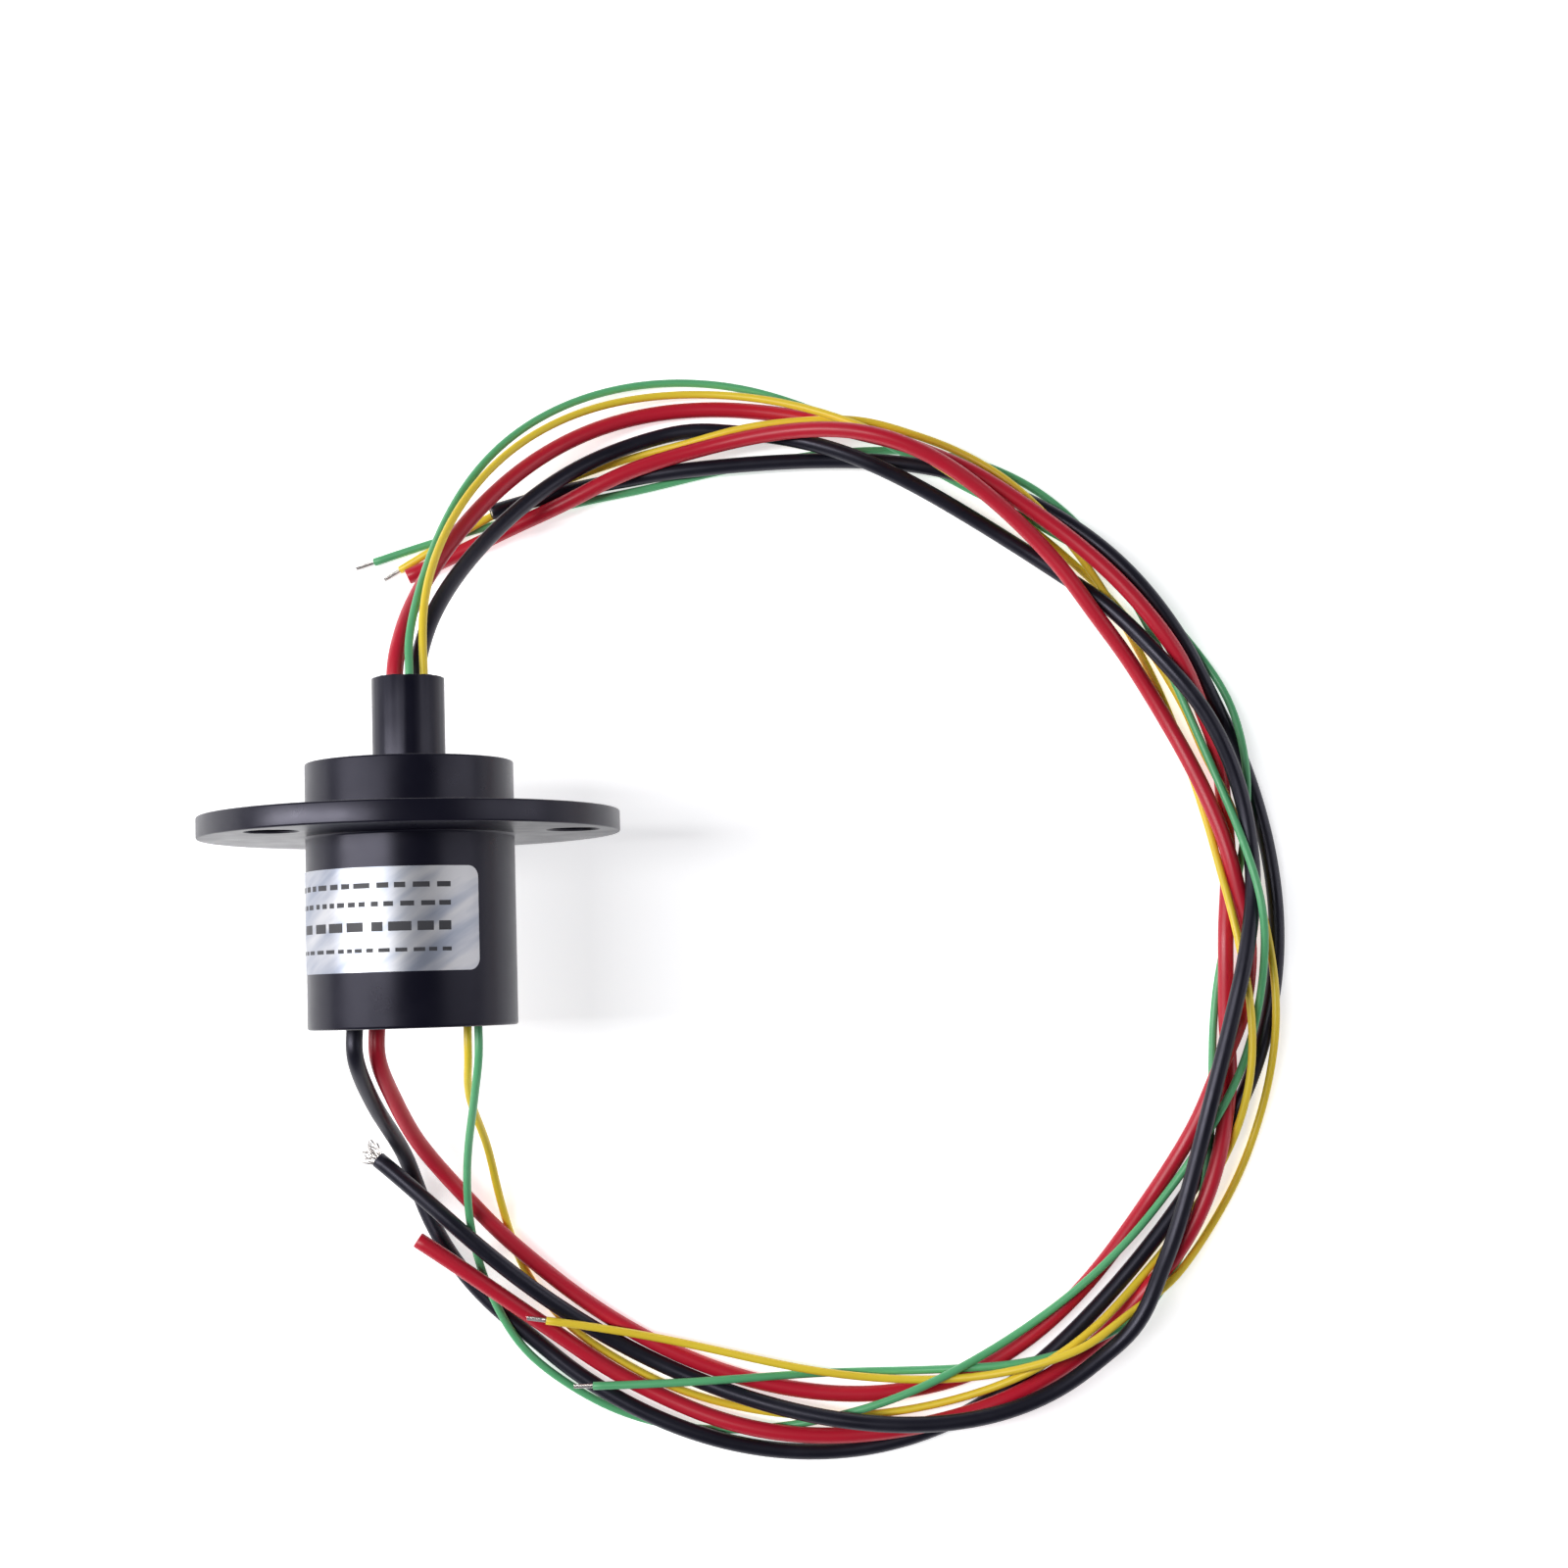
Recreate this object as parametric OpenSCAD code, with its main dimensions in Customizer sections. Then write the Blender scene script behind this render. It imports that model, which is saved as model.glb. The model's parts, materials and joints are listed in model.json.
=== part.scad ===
// Capsule slip ring with a mounting flange, four circuits and free leads.
// The spin axis is +Y. The origin is the centre of the flange's barrel-side face.
// It lies on its flange's rim and on its leads, on a table at -Z.
// Millimetres throughout.

/* [Housing] */
// Diameter of the barrel and of the boss in front of the flange
barrel_d = 22; // [21.8:0.1:23]
// Wall of the barrel
barrel_wall = 1.3; // [1.2:0.05:1.4]
// Diameter of the flange
flange_d = 44.5; // [43:0.5:50]
// Thickness of the flange
flange_t = 2.3; // [2:0.1:3]
// Height of the boss in front of the flange
boss_h = 5.5; // [5.4:0.1:7]
// Number of holes in the flange
hole_count = 3; // [2:1:6]
// Diameter of the holes in the flange
hole_d = 5.4; // [3:0.1:6]
// Distance of the hole centres from the flange's rim
hole_inset = 4.25; // [3.5:0.05:5.5]
// Turn of the first hole up from +X
hole_turn = 12; // [0:1:90]
// Chamfer on the outer edges of the housing
edge = 0.3; // [0.1:0.05:0.5]
// Thickness of the lip in front of the front bearing
lip_t = 1; // [0.8:0.1:1.4]
// Gap between the lip and the stub shaft
lip_gap = 0.45; // [0.2:0.05:0.6]

/* [Shaft] */
// Diameter of the stub shaft
stub_d = 7.7; // [7.4:0.1:7.9]
// Length of the stub shaft beyond the boss
stub_h = 9.2; // [8:0.2:10]
// Diameter of the lead passage along the shaft
passage_d = 5.4; // [5.3:0.05:5.5]
// Diameter of the shaft inside the rings
core_d = 7; // [6.9:0.1:7.4]
// Diameter of the shoulder behind the front bearing
shoulder_d = 9.4; // [9:0.1:10]
// Thickness of that shoulder
shoulder_t = 1.1; // [0.8:0.1:1.5]
// Length of the shaft behind the circlip groove
shaft_tail = 0.6; // [0.4:0.1:0.8]

/* [Bearings] */
// Bore of the front bearing
front_bore = 8; // [8:0.1:8.2]
// Outer diameter of the front bearing
front_outer = 12; // [11.8:0.1:12.6]
// Width of the front bearing
front_w = 3.5; // [3:0.1:4]
// Diameter of the front bearing's balls
front_ball = 1.2; // [1.1:0.05:1.3]
// Number of balls in the front bearing
front_balls = 12; // [8:1:14]
// Bore of the rear bearing
rear_bore = 6; // [5.8:0.1:6.2]
// Outer diameter of the rear bearing
rear_outer = 10; // [9.8:0.1:10.2]
// Width of the rear bearing
rear_w = 3; // [2.5:0.1:3.5]
// Diameter of the rear bearing's balls
rear_ball = 1; // [0.95:0.05:1.1]
// Number of balls in the rear bearing
rear_balls = 11; // [7:1:12]
// Wall of each race
race_wall = 0.6; // [0.5:0.05:0.65]
// Radial thickness of the ball cages
cage_t = 0.4; // [0.3:0.05:0.45]
// Gap around each ball in its cage and races
ball_gap = 0.03; // [0.02:0.01:0.05]

/* [Rings] */
// Outer diameter of the slip rings
ring_d = 10; // [9.8:0.1:10.2]
// Width of each power ring
power_w = 2.6; // [2.4:0.1:3]
// Width of each signal ring
signal_w = 1.6; // [1.4:0.1:2]
// Width of each barrier between the rings
barrier_w = 1; // [0.8:0.1:1.4]
// Diameter of the barriers
barrier_d = 11.6; // [11:0.1:12]
// Depth of the brush grooves
groove_depth = 0.3; // [0.2:0.05:0.4]
// Width of a groove's floor
groove_w = 0.4; // [0.36:0.02:0.5]
// Spacing of the two grooves in a power ring
groove_pitch = 1.1; // [1:0.1:1.4]
// Width of the spacer sleeve behind the rings
sleeve_w = 2; // [1.6:0.1:2.6]

/* [Brushes] */
// Diameter of the brush wire
wire_d = 0.3; // [0.2:0.02:0.32]
// Reach of a brush's legs above the axis
brush_reach = 2.8; // [1:0.2:4]
// Thickness of the circuit boards
board_t = 1; // [0.8:0.1:1.1]
// Gap between the barriers and the brush board
board_gap = 1.2; // [1:0.1:1.3]
// Diameter of a solder joint on the brush board
dot_d = 1; // [0.8:0.1:1.1]
// Height of a solder joint on the brush board
dot_h = 0.5; // [0.4:0.05:0.7]

/* [Rear cover] */
// Thickness of the rear cover
cover_t = 1.8; // [1.2:0.1:2.4]
// Wall of the cover's spigot
spigot_t = 0.6; // [0.5:0.05:0.7]
// Wall of the hub around the rear bearing
hub_wall = 0.8; // [0.6:0.1:0.9]
// Gap behind the end of the shaft
end_gap = 1; // [0.6:0.1:2]
// Width of the circlip behind the rear bearing
clip_w = 0.6; // [0.4:0.05:0.8]
// Depth of the circlip's groove
clip_depth = 0.25; // [0.15:0.05:0.35]
// Height of the circlip around the shaft
clip_h = 0.6; // [0.4:0.1:0.8]

/* [Leads] */
// Diameter of the power leads
power_lead_d = 1.8; // [1.4:0.1:1.8]
// Diameter of the signal leads
signal_lead_d = 0.9; // [0.7:0.1:1]
// Diameter of the bare wire inside the signal leads
signal_core_d = 0.5; // [0.3:0.05:0.6]
// Bare length at the end of a signal lead
bare_l = 2.2; // [1:0.2:4]
// Diameter of one strand of the frayed power lead
strand_d = 0.25; // [0.15:0.05:0.3]
// Diameter of the solder pin between a lead and its ring
pin_d = 1.2; // [0.8:0.1:1.2]
// Depth of the potting in the stub's mouth
potting_t = 2.6; // [1.5:0.1:3]
// Depth of the potting's face below the stub's rim
potting_drop = 0.4; // [0.2:0.1:1]

/* [Label] */
// Height of the label along the barrel
label_h = 10.7; // [8:0.1:12]
// Angle that the label covers
label_span = 156; // [90:1:170]
// Turn of the label's right edge from the top of the barrel toward +X
label_turn = 46.5; // [30:0.5:60]
// Distance of the label from the barrel's rear end
label_base = 5.8; // [4:0.1:7]
// Thickness of the label
label_t = 0.06; // [0.04:0.01:0.1]

/* [Hidden] */

$fn = 96;
cut = 0.5;              // how far a cutter runs past the face it cuts
press_gap = 0.01;       // gap where one piece is pressed or glued on another
loose_fit = 0.05;       // gap around the rear cover
board_fit = 0.08;       // gap between a board's edge and the barrel
rail_gap = 0.13;        // gap between a brush leg and its board rail
rail_t = 0.7;           // thickness of the board rails
brush_gap = 0.02;       // gap between a brush wire and its groove
lead_gap = 0.1;         // gap around a lead in its hole
relief = 0.2;           // depth and width of the relief around the front inner race
groove_flare = 0.2;     // how far each side of a brush groove slopes out
cage_rim = 0.25;        // rim of a cage beside its pockets
window_gap = 0.1;       // gap around a solder pin in its window
collar = 0.15;          // solder around a stator lead
collar_h = 0.9;         // height of that solder
lead_tail = 0.75;       // how far a rotor lead runs past its ring's centre
passage_end = 0.45;     // room past the last lead in the shaft
bead = 0.55;            // radius of the beads on the potting

barrel_r = barrel_d / 2;
bore_r = barrel_r - barrel_wall;
hole_pcd = flange_d - 2 * hole_inset;
table = -flange_d / 2;

// Places along the axis, from the front to the rear
boss_top = flange_t + boss_h;
mouth = boss_top + stub_h;
front_seat = boss_top - lip_t;
shoulder_top = front_seat - front_w;
stack_top = shoulder_top - shoulder_t;
ring_widths = [power_w, power_w, signal_w, signal_w];
function barrier_top(i) = stack_top - i * barrier_w - widths_before(i);
function widths_before(i) = i == 0 ? 0 : ring_widths[i - 1] + widths_before(i - 1);
function ring_top(i) = barrier_top(i) - barrier_w;
function ring_middle(i) = ring_top(i) - ring_widths[i] / 2;
stack_end = barrier_top(4) - barrier_w;
sleeve_end = stack_end - sleeve_w;
rear_seat = sleeve_end - rear_w;
clip_end = rear_seat - clip_w;
shaft_end = clip_end - shaft_tail;
cover_top = shaft_end - end_gap;
barrel_end = cover_top - cover_t;
terminal_top = sleeve_end - 0.2;
terminal_end = terminal_top - board_t;

// Places across the axis
board_top = barrier_d / 2 + board_gap;
board_half = sqrt(bore_r ^ 2 - (board_top + board_t) ^ 2) - board_fit;
leg_x = ring_d / 2 - groove_depth + wire_d / 2 + brush_gap;
rail_x = leg_x + wire_d / 2 + rail_gap;
cover_r = bore_r - loose_fit;
hub_r = rear_outer / 2 + press_gap + hub_wall;
terminal_bore = hub_r + 0.5;
lead_row_r = (hub_r + cover_r - spigot_t) / 2;

// Where each lead leaves the slip ring, as [x, z] from the axis. The stator leads
// stand in a row between the cover's hub and its spigot.
function in_row(turn) = lead_row_r * [cos(turn), sin(turn)];
rotor_red_exit = [-1.3, 0.65];
rotor_black_exit = [0.8, -1.35];
rotor_yellow_exit = [1.8, 0.7];
rotor_green_exit = [0.4, 1.7];
stator_red_exit = in_row(-130);
stator_black_exit = in_row(-155);
stator_yellow_exit = in_row(-48);
stator_green_exit = in_row(-32);
rotor_exits = [rotor_red_exit, rotor_black_exit, rotor_yellow_exit, rotor_green_exit];
stator_exits = [stator_red_exit, stator_black_exit, stator_yellow_exit, stator_green_exit];
lead_ds = [power_lead_d, power_lead_d, signal_lead_d, signal_lead_d];

// Where each lead runs after its exit, as [x, y, height of its underside above the table]
rotor_red_route = [
    [-0.9, 21, 20.8], [0, 25, 18], [2.5, 31, 13], [6, 37, 9], [10.5, 43, 5],
    [16.5, 47, 2.5], [24.5, 50, 0.5], [33, 50.5, 0], [41, 49, 0.5], [49, 46.5, 1],
    [57, 44, 4], [64, 40.5, 3], [70.5, 35.5, 3], [77, 30, 3], [83, 23.5, 4],
    [87, 16, 2.5], [90, 8.5, 0.5], [91.5, 0.5, 0], [90, -7.5, 1], [89, -16, 1.5],
    [89, -24, 0], [89.5, -32.5, 2], [87.5, -40.5, 3], [83.5, -47.5, 1.5], [78, -53.5, 0],
    [72, -59.5, 0], [65, -63, 2], [57, -65, 1.5], [48.5, -67, 1], [40.5, -67.5, 1.5],
    [32, -66, 2], [24, -63, 0], [17, -58.5, 0.5], [10.5, -53.5, 1.5], [4, -48.5, 4],
    [-2.5, -44, 4.5]];
rotor_black_route = [
    [1.3, 21, 19], [2.5, 25, 17], [5, 31, 12], [9, 37, 7], [14.5, 41.5, 3.5],
    [21.5, 46, 1], [29.5, 48, 0], [38, 47.5, 0], [45.5, 44.5, 3], [53, 41, 3],
    [60.5, 37.5, 1], [67.5, 33, 0], [74.5, 28.5, 1.5], [80.5, 22.5, 2], [85.5, 16, 4.5],
    [90, 9, 3.5], [93, 1, 3], [94, -7, 2.5], [91.5, -15, 5], [88, -23, 4.5],
    [85.5, -30.5, 4.5], [84.5, -39, 3.5], [82, -47, 3], [79, -55, 4], [73, -60.5, 2],
    [65.5, -64.5, 3.5], [57.5, -66, 3.5], [49, -65.5, 3.5], [41, -64, 3.5], [33, -62.5, 1],
    [25, -60, 0.5], [17.5, -55.5, 0.5], [11, -51, 2.5], [4.5, -46, 4.5], [-1, -40, 4.5],
    [-7, -35, 3.5]];
rotor_yellow_route = [
    [1.7, 21, 22.2], [1.7, 25, 21], [2, 32, 16.5], [4.5, 39, 11.5], [9.5, 44.5, 7.5],
    [16.5, 48.5, 4.5], [24, 51.5, 2], [32.5, 52, 1], [41, 50.5, 3], [48.5, 47.5, 4.5],
    [56, 43, 5.5], [63, 39, 3.5], [70.5, 34.5, 0.5], [77, 29, 0], [82, 22, 0],
    [86, 14.5, 0], [89, 6.5, 1], [92, -1.5, 2.5], [94, -9.5, 0.5], [95, -18, 2.5],
    [95.5, -26.5, 1], [92, -34.5, 0], [88.5, -42.5, 0], [84.5, -49.5, 1],
    [77.5, -54.5, 3.5], [70, -58.5, 5], [62, -61, 3], [53.5, -61.5, 1.5], [45, -61, 1.5],
    [36.5, -59, 2], [28.5, -57, 1], [20, -55, 2.5], [11.5, -53.5, 3.5]];
rotor_green_route = [
    [0.3, 21, 22.5], [0.7, 25, 20.5], [1.2, 31.5, 15.5], [3.5, 38.5, 10.5], [7.5, 45, 6.5],
    [14, 49.5, 3], [21.5, 53, 1], [30, 53.5, 0], [38.5, 52.5, 0], [46.5, 49.5, 0],
    [53, 45, 1], [60, 40.5, 0.5], [68, 37.5, 0], [75, 32.5, 1], [81.5, 27.5, 1],
    [87.5, 21, 0], [92, 13.5, 1], [93.5, 5.5, 2.5], [92.5, -3, 0.5], [90, -11, 0],
    [88, -19, 0], [87.5, -28, 0], [87, -36, 2.5], [85.5, -44, 1], [82, -52, 0],
    [75.5, -57, 2], [67.5, -59, 2.5], [59, -60.5, 1.5], [50.5, -60.5, 0], [42, -60.5, 0],
    [33.5, -60.5, 2.5], [25, -61, 2.5], [16.5, -61, 2.5]];
stator_red_route = [
    [-3.8, -28, 11.5], [-2, -33, 6.5], [1.5, -38.5, 2], [6, -45, 1.5], [13.5, -50.5, 0],
    [20.5, -55, 0], [28, -59, 0], [36, -61.5, 0], [44.5, -62.5, 0], [53, -62.5, 0],
    [61, -61.5, 0], [67.5, -56.5, 0], [73.5, -50.5, 0], [78, -43, 0], [83.5, -36.5, 0],
    [87.5, -29.5, 3], [91.5, -22.5, 1.5], [92, -14.5, 0.5], [91, -6.5, 3],
    [88.5, 1.5, 2], [85.5, 9.5, 1], [81.5, 17, 0.5], [76.5, 23.5, 2.5], [72, 30.5, 3.5],
    [66, 36.5, 3.5], [59.5, 41.5, 6], [52.5, 46.5, 7], [44.5, 46.5, 5], [36, 45.5, 2],
    [28, 44.5, 1.5], [20, 42, 2.5], [13, 38, 0.5], [5, 35, 0], [-3, 31.5, 0.5]];
stator_black_route = [
    [-6, -28.5, 11.5], [-4.2, -34.5, 2.5], [-2, -41, 0], [3.5, -46.5, 0], [8.5, -53.5, 0],
    [14.5, -59.5, 0], [22, -64, 1], [29.5, -67.5, 1], [38, -69, 0], [46.5, -69, 0],
    [55, -67.5, 0], [62.5, -64, 0], [69, -58, 0], [75, -52.5, 0], [80.5, -45.5, 0.5],
    [85.5, -39, 0], [91.5, -32.5, 0.5], [94, -24.5, 0], [96, -16, 0], [95.5, -7.5, 0],
    [94.5, 1, 0], [92, 9, 0], [88.5, 17, 0], [84, 24, 2], [79, 31, 2.5], [72.5, 36.5, 0.5],
    [65.5, 40.5, 0], [57, 43, 2.2], [48.5, 43.5, 1], [40, 43, 0.5], [31.5, 42.5, 1.5],
    [23, 42.5, 0], [14.5, 41, 0], [7, 38.5, 2]];
stator_yellow_route = [
    [4.5, -28, 12], [5.5, -34, 5], [6.5, -41, 1], [8, -48, 0], [13.5, -54, 0.5],
    [20, -59, 0], [28, -62.5, 0], [36, -65, 0], [44, -65.5, 0.5], [52.5, -64.5, 1],
    [60.5, -62.5, 2], [68.5, -60, 4], [75, -54.5, 2], [80.5, -48.5, 0], [85.5, -41.5, 0],
    [91, -35.5, 2], [92, -27.5, 4], [91.5, -19, 4], [90, -11, 3.5], [88.5, -3, 2],
    [87.5, 5.5, 0], [85, 13.5, 0], [81, 21, 0], [77, 28, 1], [71.5, 35, 2],
    [66.5, 41.5, 2.5], [59.5, 45.5, 1], [51, 47.5, 2.5], [43, 48, 3], [34.5, 47, 2],
    [26.5, 45.5, 0], [18, 43.5, 0], [10, 41, 0], [3.5, 36.5, 1.5], [-4, 32.5, 0]];
stator_green_route = [
    [5.4, -28, 15], [3.8, -34.5, 9], [3, -41.5, 4], [4, -49.5, 2.5], [8, -56.5, 1],
    [15, -62, 0], [22.5, -65.5, 0], [31, -66.5, 0], [39.5, -66, 1], [48, -64, 2.5],
    [55.5, -61, 3], [63, -57.5, 1], [70.5, -53, 2], [76.5, -47.5, 2], [82, -41, 1],
    [86.5, -34, 3.5], [91.5, -27, 3], [93.5, -19, 2.5], [94, -10.5, 6], [91.5, -2.5, 4],
    [89, 5.5, 2.5], [86, 14, 1.5], [83, 21.5, 1], [79.5, 29.5, 0], [74.5, 36.5, 0],
    [68, 41.5, 0], [60, 44.5, 0], [51.5, 44.5, 0], [43, 44.5, 0], [34.5, 43.5, 0],
    [26, 41, 0], [17.5, 40, 0], [9.5, 38.5, 0], [1, 36, 0], [-7, 33.5, 0]];

// Whole lead, from its end inside the slip ring to its free end
function on_table(route, lead_d) = [for (p = route) [p.x, p.y, table + lead_d / 2 + p.z]];
function at_exit(exit, places) = [for (y = places) [exit.x, y, exit.y]];
function rotor_lead_points(i, route) = concat(
    at_exit(rotor_exits[i], [ring_middle(i) - lead_tail, mouth - 9, mouth - 4, mouth + 0.5]),
    on_table(route, lead_ds[i]));
function stator_lead_points(i, route) = concat(
    at_exit(stator_exits[i], [terminal_end - lead_gap, barrel_end + 1.2, barrel_end - 3.3]),
    on_table(route, lead_ds[i]));

// Smooth curve through a list of points, with two rings for each stretch
function curve_point(a, b, c, d, t) = 0.5 * (2 * b + (c - a) * t
    + (2 * a - 5 * b + 4 * c - d) * t ^ 2 + (3 * b - a - 3 * c + d) * t ^ 3);
function with_ends(p) = concat([2 * p[0] - p[1]], p, [2 * p[len(p) - 1] - p[len(p) - 2]]);
function above_table(p, r) = [p.x, p.y, max(p.z, table + r)];
function smooth(points, r) = let (p = with_ends(points), last = len(points) - 1) concat(
    [for (i = [0:last - 1], t = [0, 0.5])
        above_table(curve_point(p[i], p[i + 1], p[i + 2], p[i + 3], t), r)],
    [above_table(points[last], r)]);

// Rings of points around a path, and the faces between them
lead_sides = 8;
function unit(v) = v / norm(v);
function heading(path, i) = unit(path[min(i + 1, len(path) - 1)] - path[max(i - 1, 0)]);
function ring_points(centre, ahead, r) =
    let (side = unit(cross([0, 0, 1], ahead)), up = cross(ahead, side))
    [for (k = [0:lead_sides - 1])
        let (a = 360 * k / lead_sides) centre + r * (cos(a) * side + sin(a) * up)];
function side_faces(ring, k) =
    let (here = ring * lead_sides, next = (k + 1) % lead_sides)
    [[here + k, here + lead_sides + k, here + lead_sides + next],
     [here + k, here + lead_sides + next, here + next]];

module swept_wire(path, r) {
    last = len(path) - 1;
    points = [for (i = [0:last]) each ring_points(path[i], heading(path, i), r)];
    faces = concat(
        [for (i = [0:last - 1], k = [0:lead_sides - 1]) each side_faces(i, k)],
        [[for (k = [0:lead_sides - 1]) k]],
        [[for (k = [lead_sides - 1:-1:0]) last * lead_sides + k]]);
    polyhedron(points, faces);
}

module lead(points, lead_d) {
    swept_wire(smooth(points, lead_d / 2), lead_d / 2);
}

// Bare wire that goes on straight from a lead's free end
module bare_end(points, lead_d, wire, length) {
    path = smooth(points, lead_d / 2);
    end = path[len(path) - 1];
    ahead = unit(end - path[len(path) - 2]);
    swept_wire([end, above_table(end + ahead * length, wire / 2)], wire / 2);
}

// Turns a shape modelled along +Z, so that its +Z is the spin axis +Y
// and its +Y points down to the table
module along_axis() {
    rotate([-90, 0, 0]) children();
}

module tube(outer_r, inner_r, low, high) {
    translate([0, 0, low]) difference() {
        cylinder(r = outer_r, h = high - low);
        translate([0, 0, -cut]) cylinder(r = inner_r, h = high - low + 2 * cut);
    }
}

// ---- Housing and rear cover ----

module housing_profile() {
    seat_r = front_outer / 2 + press_gap;
    lip_r = stub_d / 2 + lip_gap;
    relief_r = front_bore / 2 + race_wall + relief;
    polygon([
        [bore_r, barrel_end], [barrel_r - edge, barrel_end], [barrel_r, barrel_end + edge],
        [barrel_r, -edge], [barrel_r + edge, 0], [flange_d / 2 - edge, 0],
        [flange_d / 2, edge], [flange_d / 2, flange_t - edge],
        [flange_d / 2 - edge, flange_t], [barrel_r, flange_t],
        [barrel_r, boss_top - edge], [barrel_r - edge, boss_top], [lip_r, boss_top],
        [lip_r, front_seat + relief], [relief_r, front_seat + relief],
        [relief_r, front_seat], [seat_r, front_seat], [seat_r, flange_t],
        [bore_r, flange_t]]);
}

// Rail that holds the brush board's edge, joined to the barrel's wall
module board_rail() {
    low = board_top - lead_gap - rail_t;
    wall_x = sqrt((bore_r + barrel_wall / 2) ^ 2 - (board_top - lead_gap) ^ 2);
    translate([rail_x, low, terminal_top])
        cube([wall_x - rail_x, rail_t, flange_t + cut - terminal_top]);
}

module housing() {
    color([0.13, 0.13, 0.17]) along_axis() {
        difference() {
            rotate_extrude() housing_profile();
            for (i = [0:hole_count - 1])
                rotate([0, 0, -hole_turn - i * 360 / hole_count])
                    translate([hole_pcd / 2, 0, -cut])
                        cylinder(d = hole_d, h = flange_t + 2 * cut);
        }
        board_rail();
        mirror([1, 0, 0]) board_rail();
    }
}

module rear_cover() {
    color([0.12, 0.12, 0.15]) along_axis() difference() {
        union() {
            translate([0, 0, barrel_end]) cylinder(r = cover_r, h = cover_t);
            tube(cover_r, cover_r - spigot_t, cover_top - press_gap, terminal_end);
            tube(hub_r, hub_r - hub_wall, cover_top - press_gap, sleeve_end);
            tube(hub_r, rear_outer / 2 - race_wall, cover_top - press_gap, rear_seat);
        }
        for (i = [0:3])
            translate([stator_exits[i].x, -stator_exits[i].y, barrel_end - cut])
                cylinder(d = lead_ds[i] + 2 * lead_gap, h = cover_t + 2 * cut);
    }
}

// ---- Bearings ----

module race(outer_r, inner_r, low, width, pitch_r, ball) {
    along_axis() rotate_extrude() difference() {
        translate([inner_r, low]) square([outer_r - inner_r, width]);
        translate([pitch_r, low + width / 2]) circle(d = ball + 2 * ball_gap, $fn = 48);
    }
}

module outer_race(bore, outer, low, width, ball) {
    race(outer / 2, outer / 2 - race_wall, low, width, (bore + outer) / 4, ball);
}

module inner_race(bore, outer, low, width, ball) {
    race(bore / 2 + race_wall, bore / 2 + press_gap, low, width, (bore + outer) / 4, ball);
}

module ball_set(bore, outer, low, width, ball, count) {
    along_axis() for (i = [0:count - 1])
        rotate([0, 0, i * 360 / count])
            translate([(bore + outer) / 4, 0, low + width / 2])
                sphere(d = ball, $fn = 24);
}

module cage(bore, outer, low, width, ball, count) {
    pitch_r = (bore + outer) / 4;
    half = ball / 2 + ball_gap + cage_rim;
    along_axis() difference() {
        tube(pitch_r + cage_t / 2, pitch_r - cage_t / 2,
            low + width / 2 - half, low + width / 2 + half);
        for (i = [0:count - 1])
            rotate([0, 0, i * 360 / count])
                translate([pitch_r - cage_t, 0, low + width / 2])
                    rotate([0, 90, 0])
                        cylinder(d = ball + 2 * ball_gap, h = 2 * cage_t, $fn = 24);
    }
}

module front_bearing_outer_race() {
    color("silver") outer_race(front_bore, front_outer, shoulder_top, front_w, front_ball);
}
module front_bearing_inner_race() {
    color("silver") inner_race(front_bore, front_outer, shoulder_top, front_w, front_ball);
}
module front_bearing_balls() {
    color("gainsboro")
        ball_set(front_bore, front_outer, shoulder_top, front_w, front_ball, front_balls);
}
module front_bearing_cage() {
    color("peru")
        cage(front_bore, front_outer, shoulder_top, front_w, front_ball, front_balls);
}
module rear_bearing_outer_race() {
    color("silver") outer_race(rear_bore, rear_outer, rear_seat, rear_w, rear_ball);
}
module rear_bearing_inner_race() {
    color("silver") inner_race(rear_bore, rear_outer, rear_seat, rear_w, rear_ball);
}
module rear_bearing_balls() {
    color("gainsboro")
        ball_set(rear_bore, rear_outer, rear_seat, rear_w, rear_ball, rear_balls);
}
module rear_bearing_cage() {
    color("peru") cage(rear_bore, rear_outer, rear_seat, rear_w, rear_ball, rear_balls);
}

// ---- Rotor ----

module rotor_shaft() {
    groove_r = rear_bore / 2 - clip_depth;
    journal_top = front_seat + relief / 2;
    passage_floor = ring_middle(3) - lead_tail - passage_end;
    color([0.11, 0.11, 0.14]) along_axis() difference() {
        rotate_extrude() polygon([
            [0, shaft_end], [rear_bore / 2, shaft_end], [rear_bore / 2, clip_end],
            [groove_r, clip_end], [groove_r, rear_seat], [rear_bore / 2, rear_seat],
            [rear_bore / 2, stack_end], [core_d / 2, stack_end], [core_d / 2, stack_top],
            [shoulder_d / 2, stack_top], [shoulder_d / 2, shoulder_top],
            [front_bore / 2, shoulder_top], [front_bore / 2, journal_top],
            [stub_d / 2, journal_top], [stub_d / 2, mouth], [0, mouth]]);
        translate([0, 0, passage_floor]) cylinder(d = passage_d, h = mouth - passage_floor + cut);
        for (i = [0:3]) solder_pin_place(i)
            cylinder(d = pin_d + 2 * window_gap, h = core_d);
    }
}

// Radial place of a lead's solder pin, from the lead's surface outward
module solder_pin_place(i) {
    exit = rotor_exits[i];
    rotate([0, 0, atan2(-exit.y, exit.x)])
        translate([norm(exit) + lead_ds[i] / 2 + press_gap, 0, ring_middle(i)])
            rotate([0, 90, 0]) children();
}

module ring_solder_pins() {
    color("silver") along_axis() intersection() {
        cylinder(r = core_d / 2, h = 2 * barrel_d, center = true);
        union() for (i = [0:3]) solder_pin_place(i) cylinder(d = pin_d, h = core_d);
    }
}

module ring_barrier(i) {
    color("ivory") along_axis() tube(barrier_d / 2, core_d / 2 + press_gap, ring_top(i),
        barrier_top(i));
}

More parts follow.
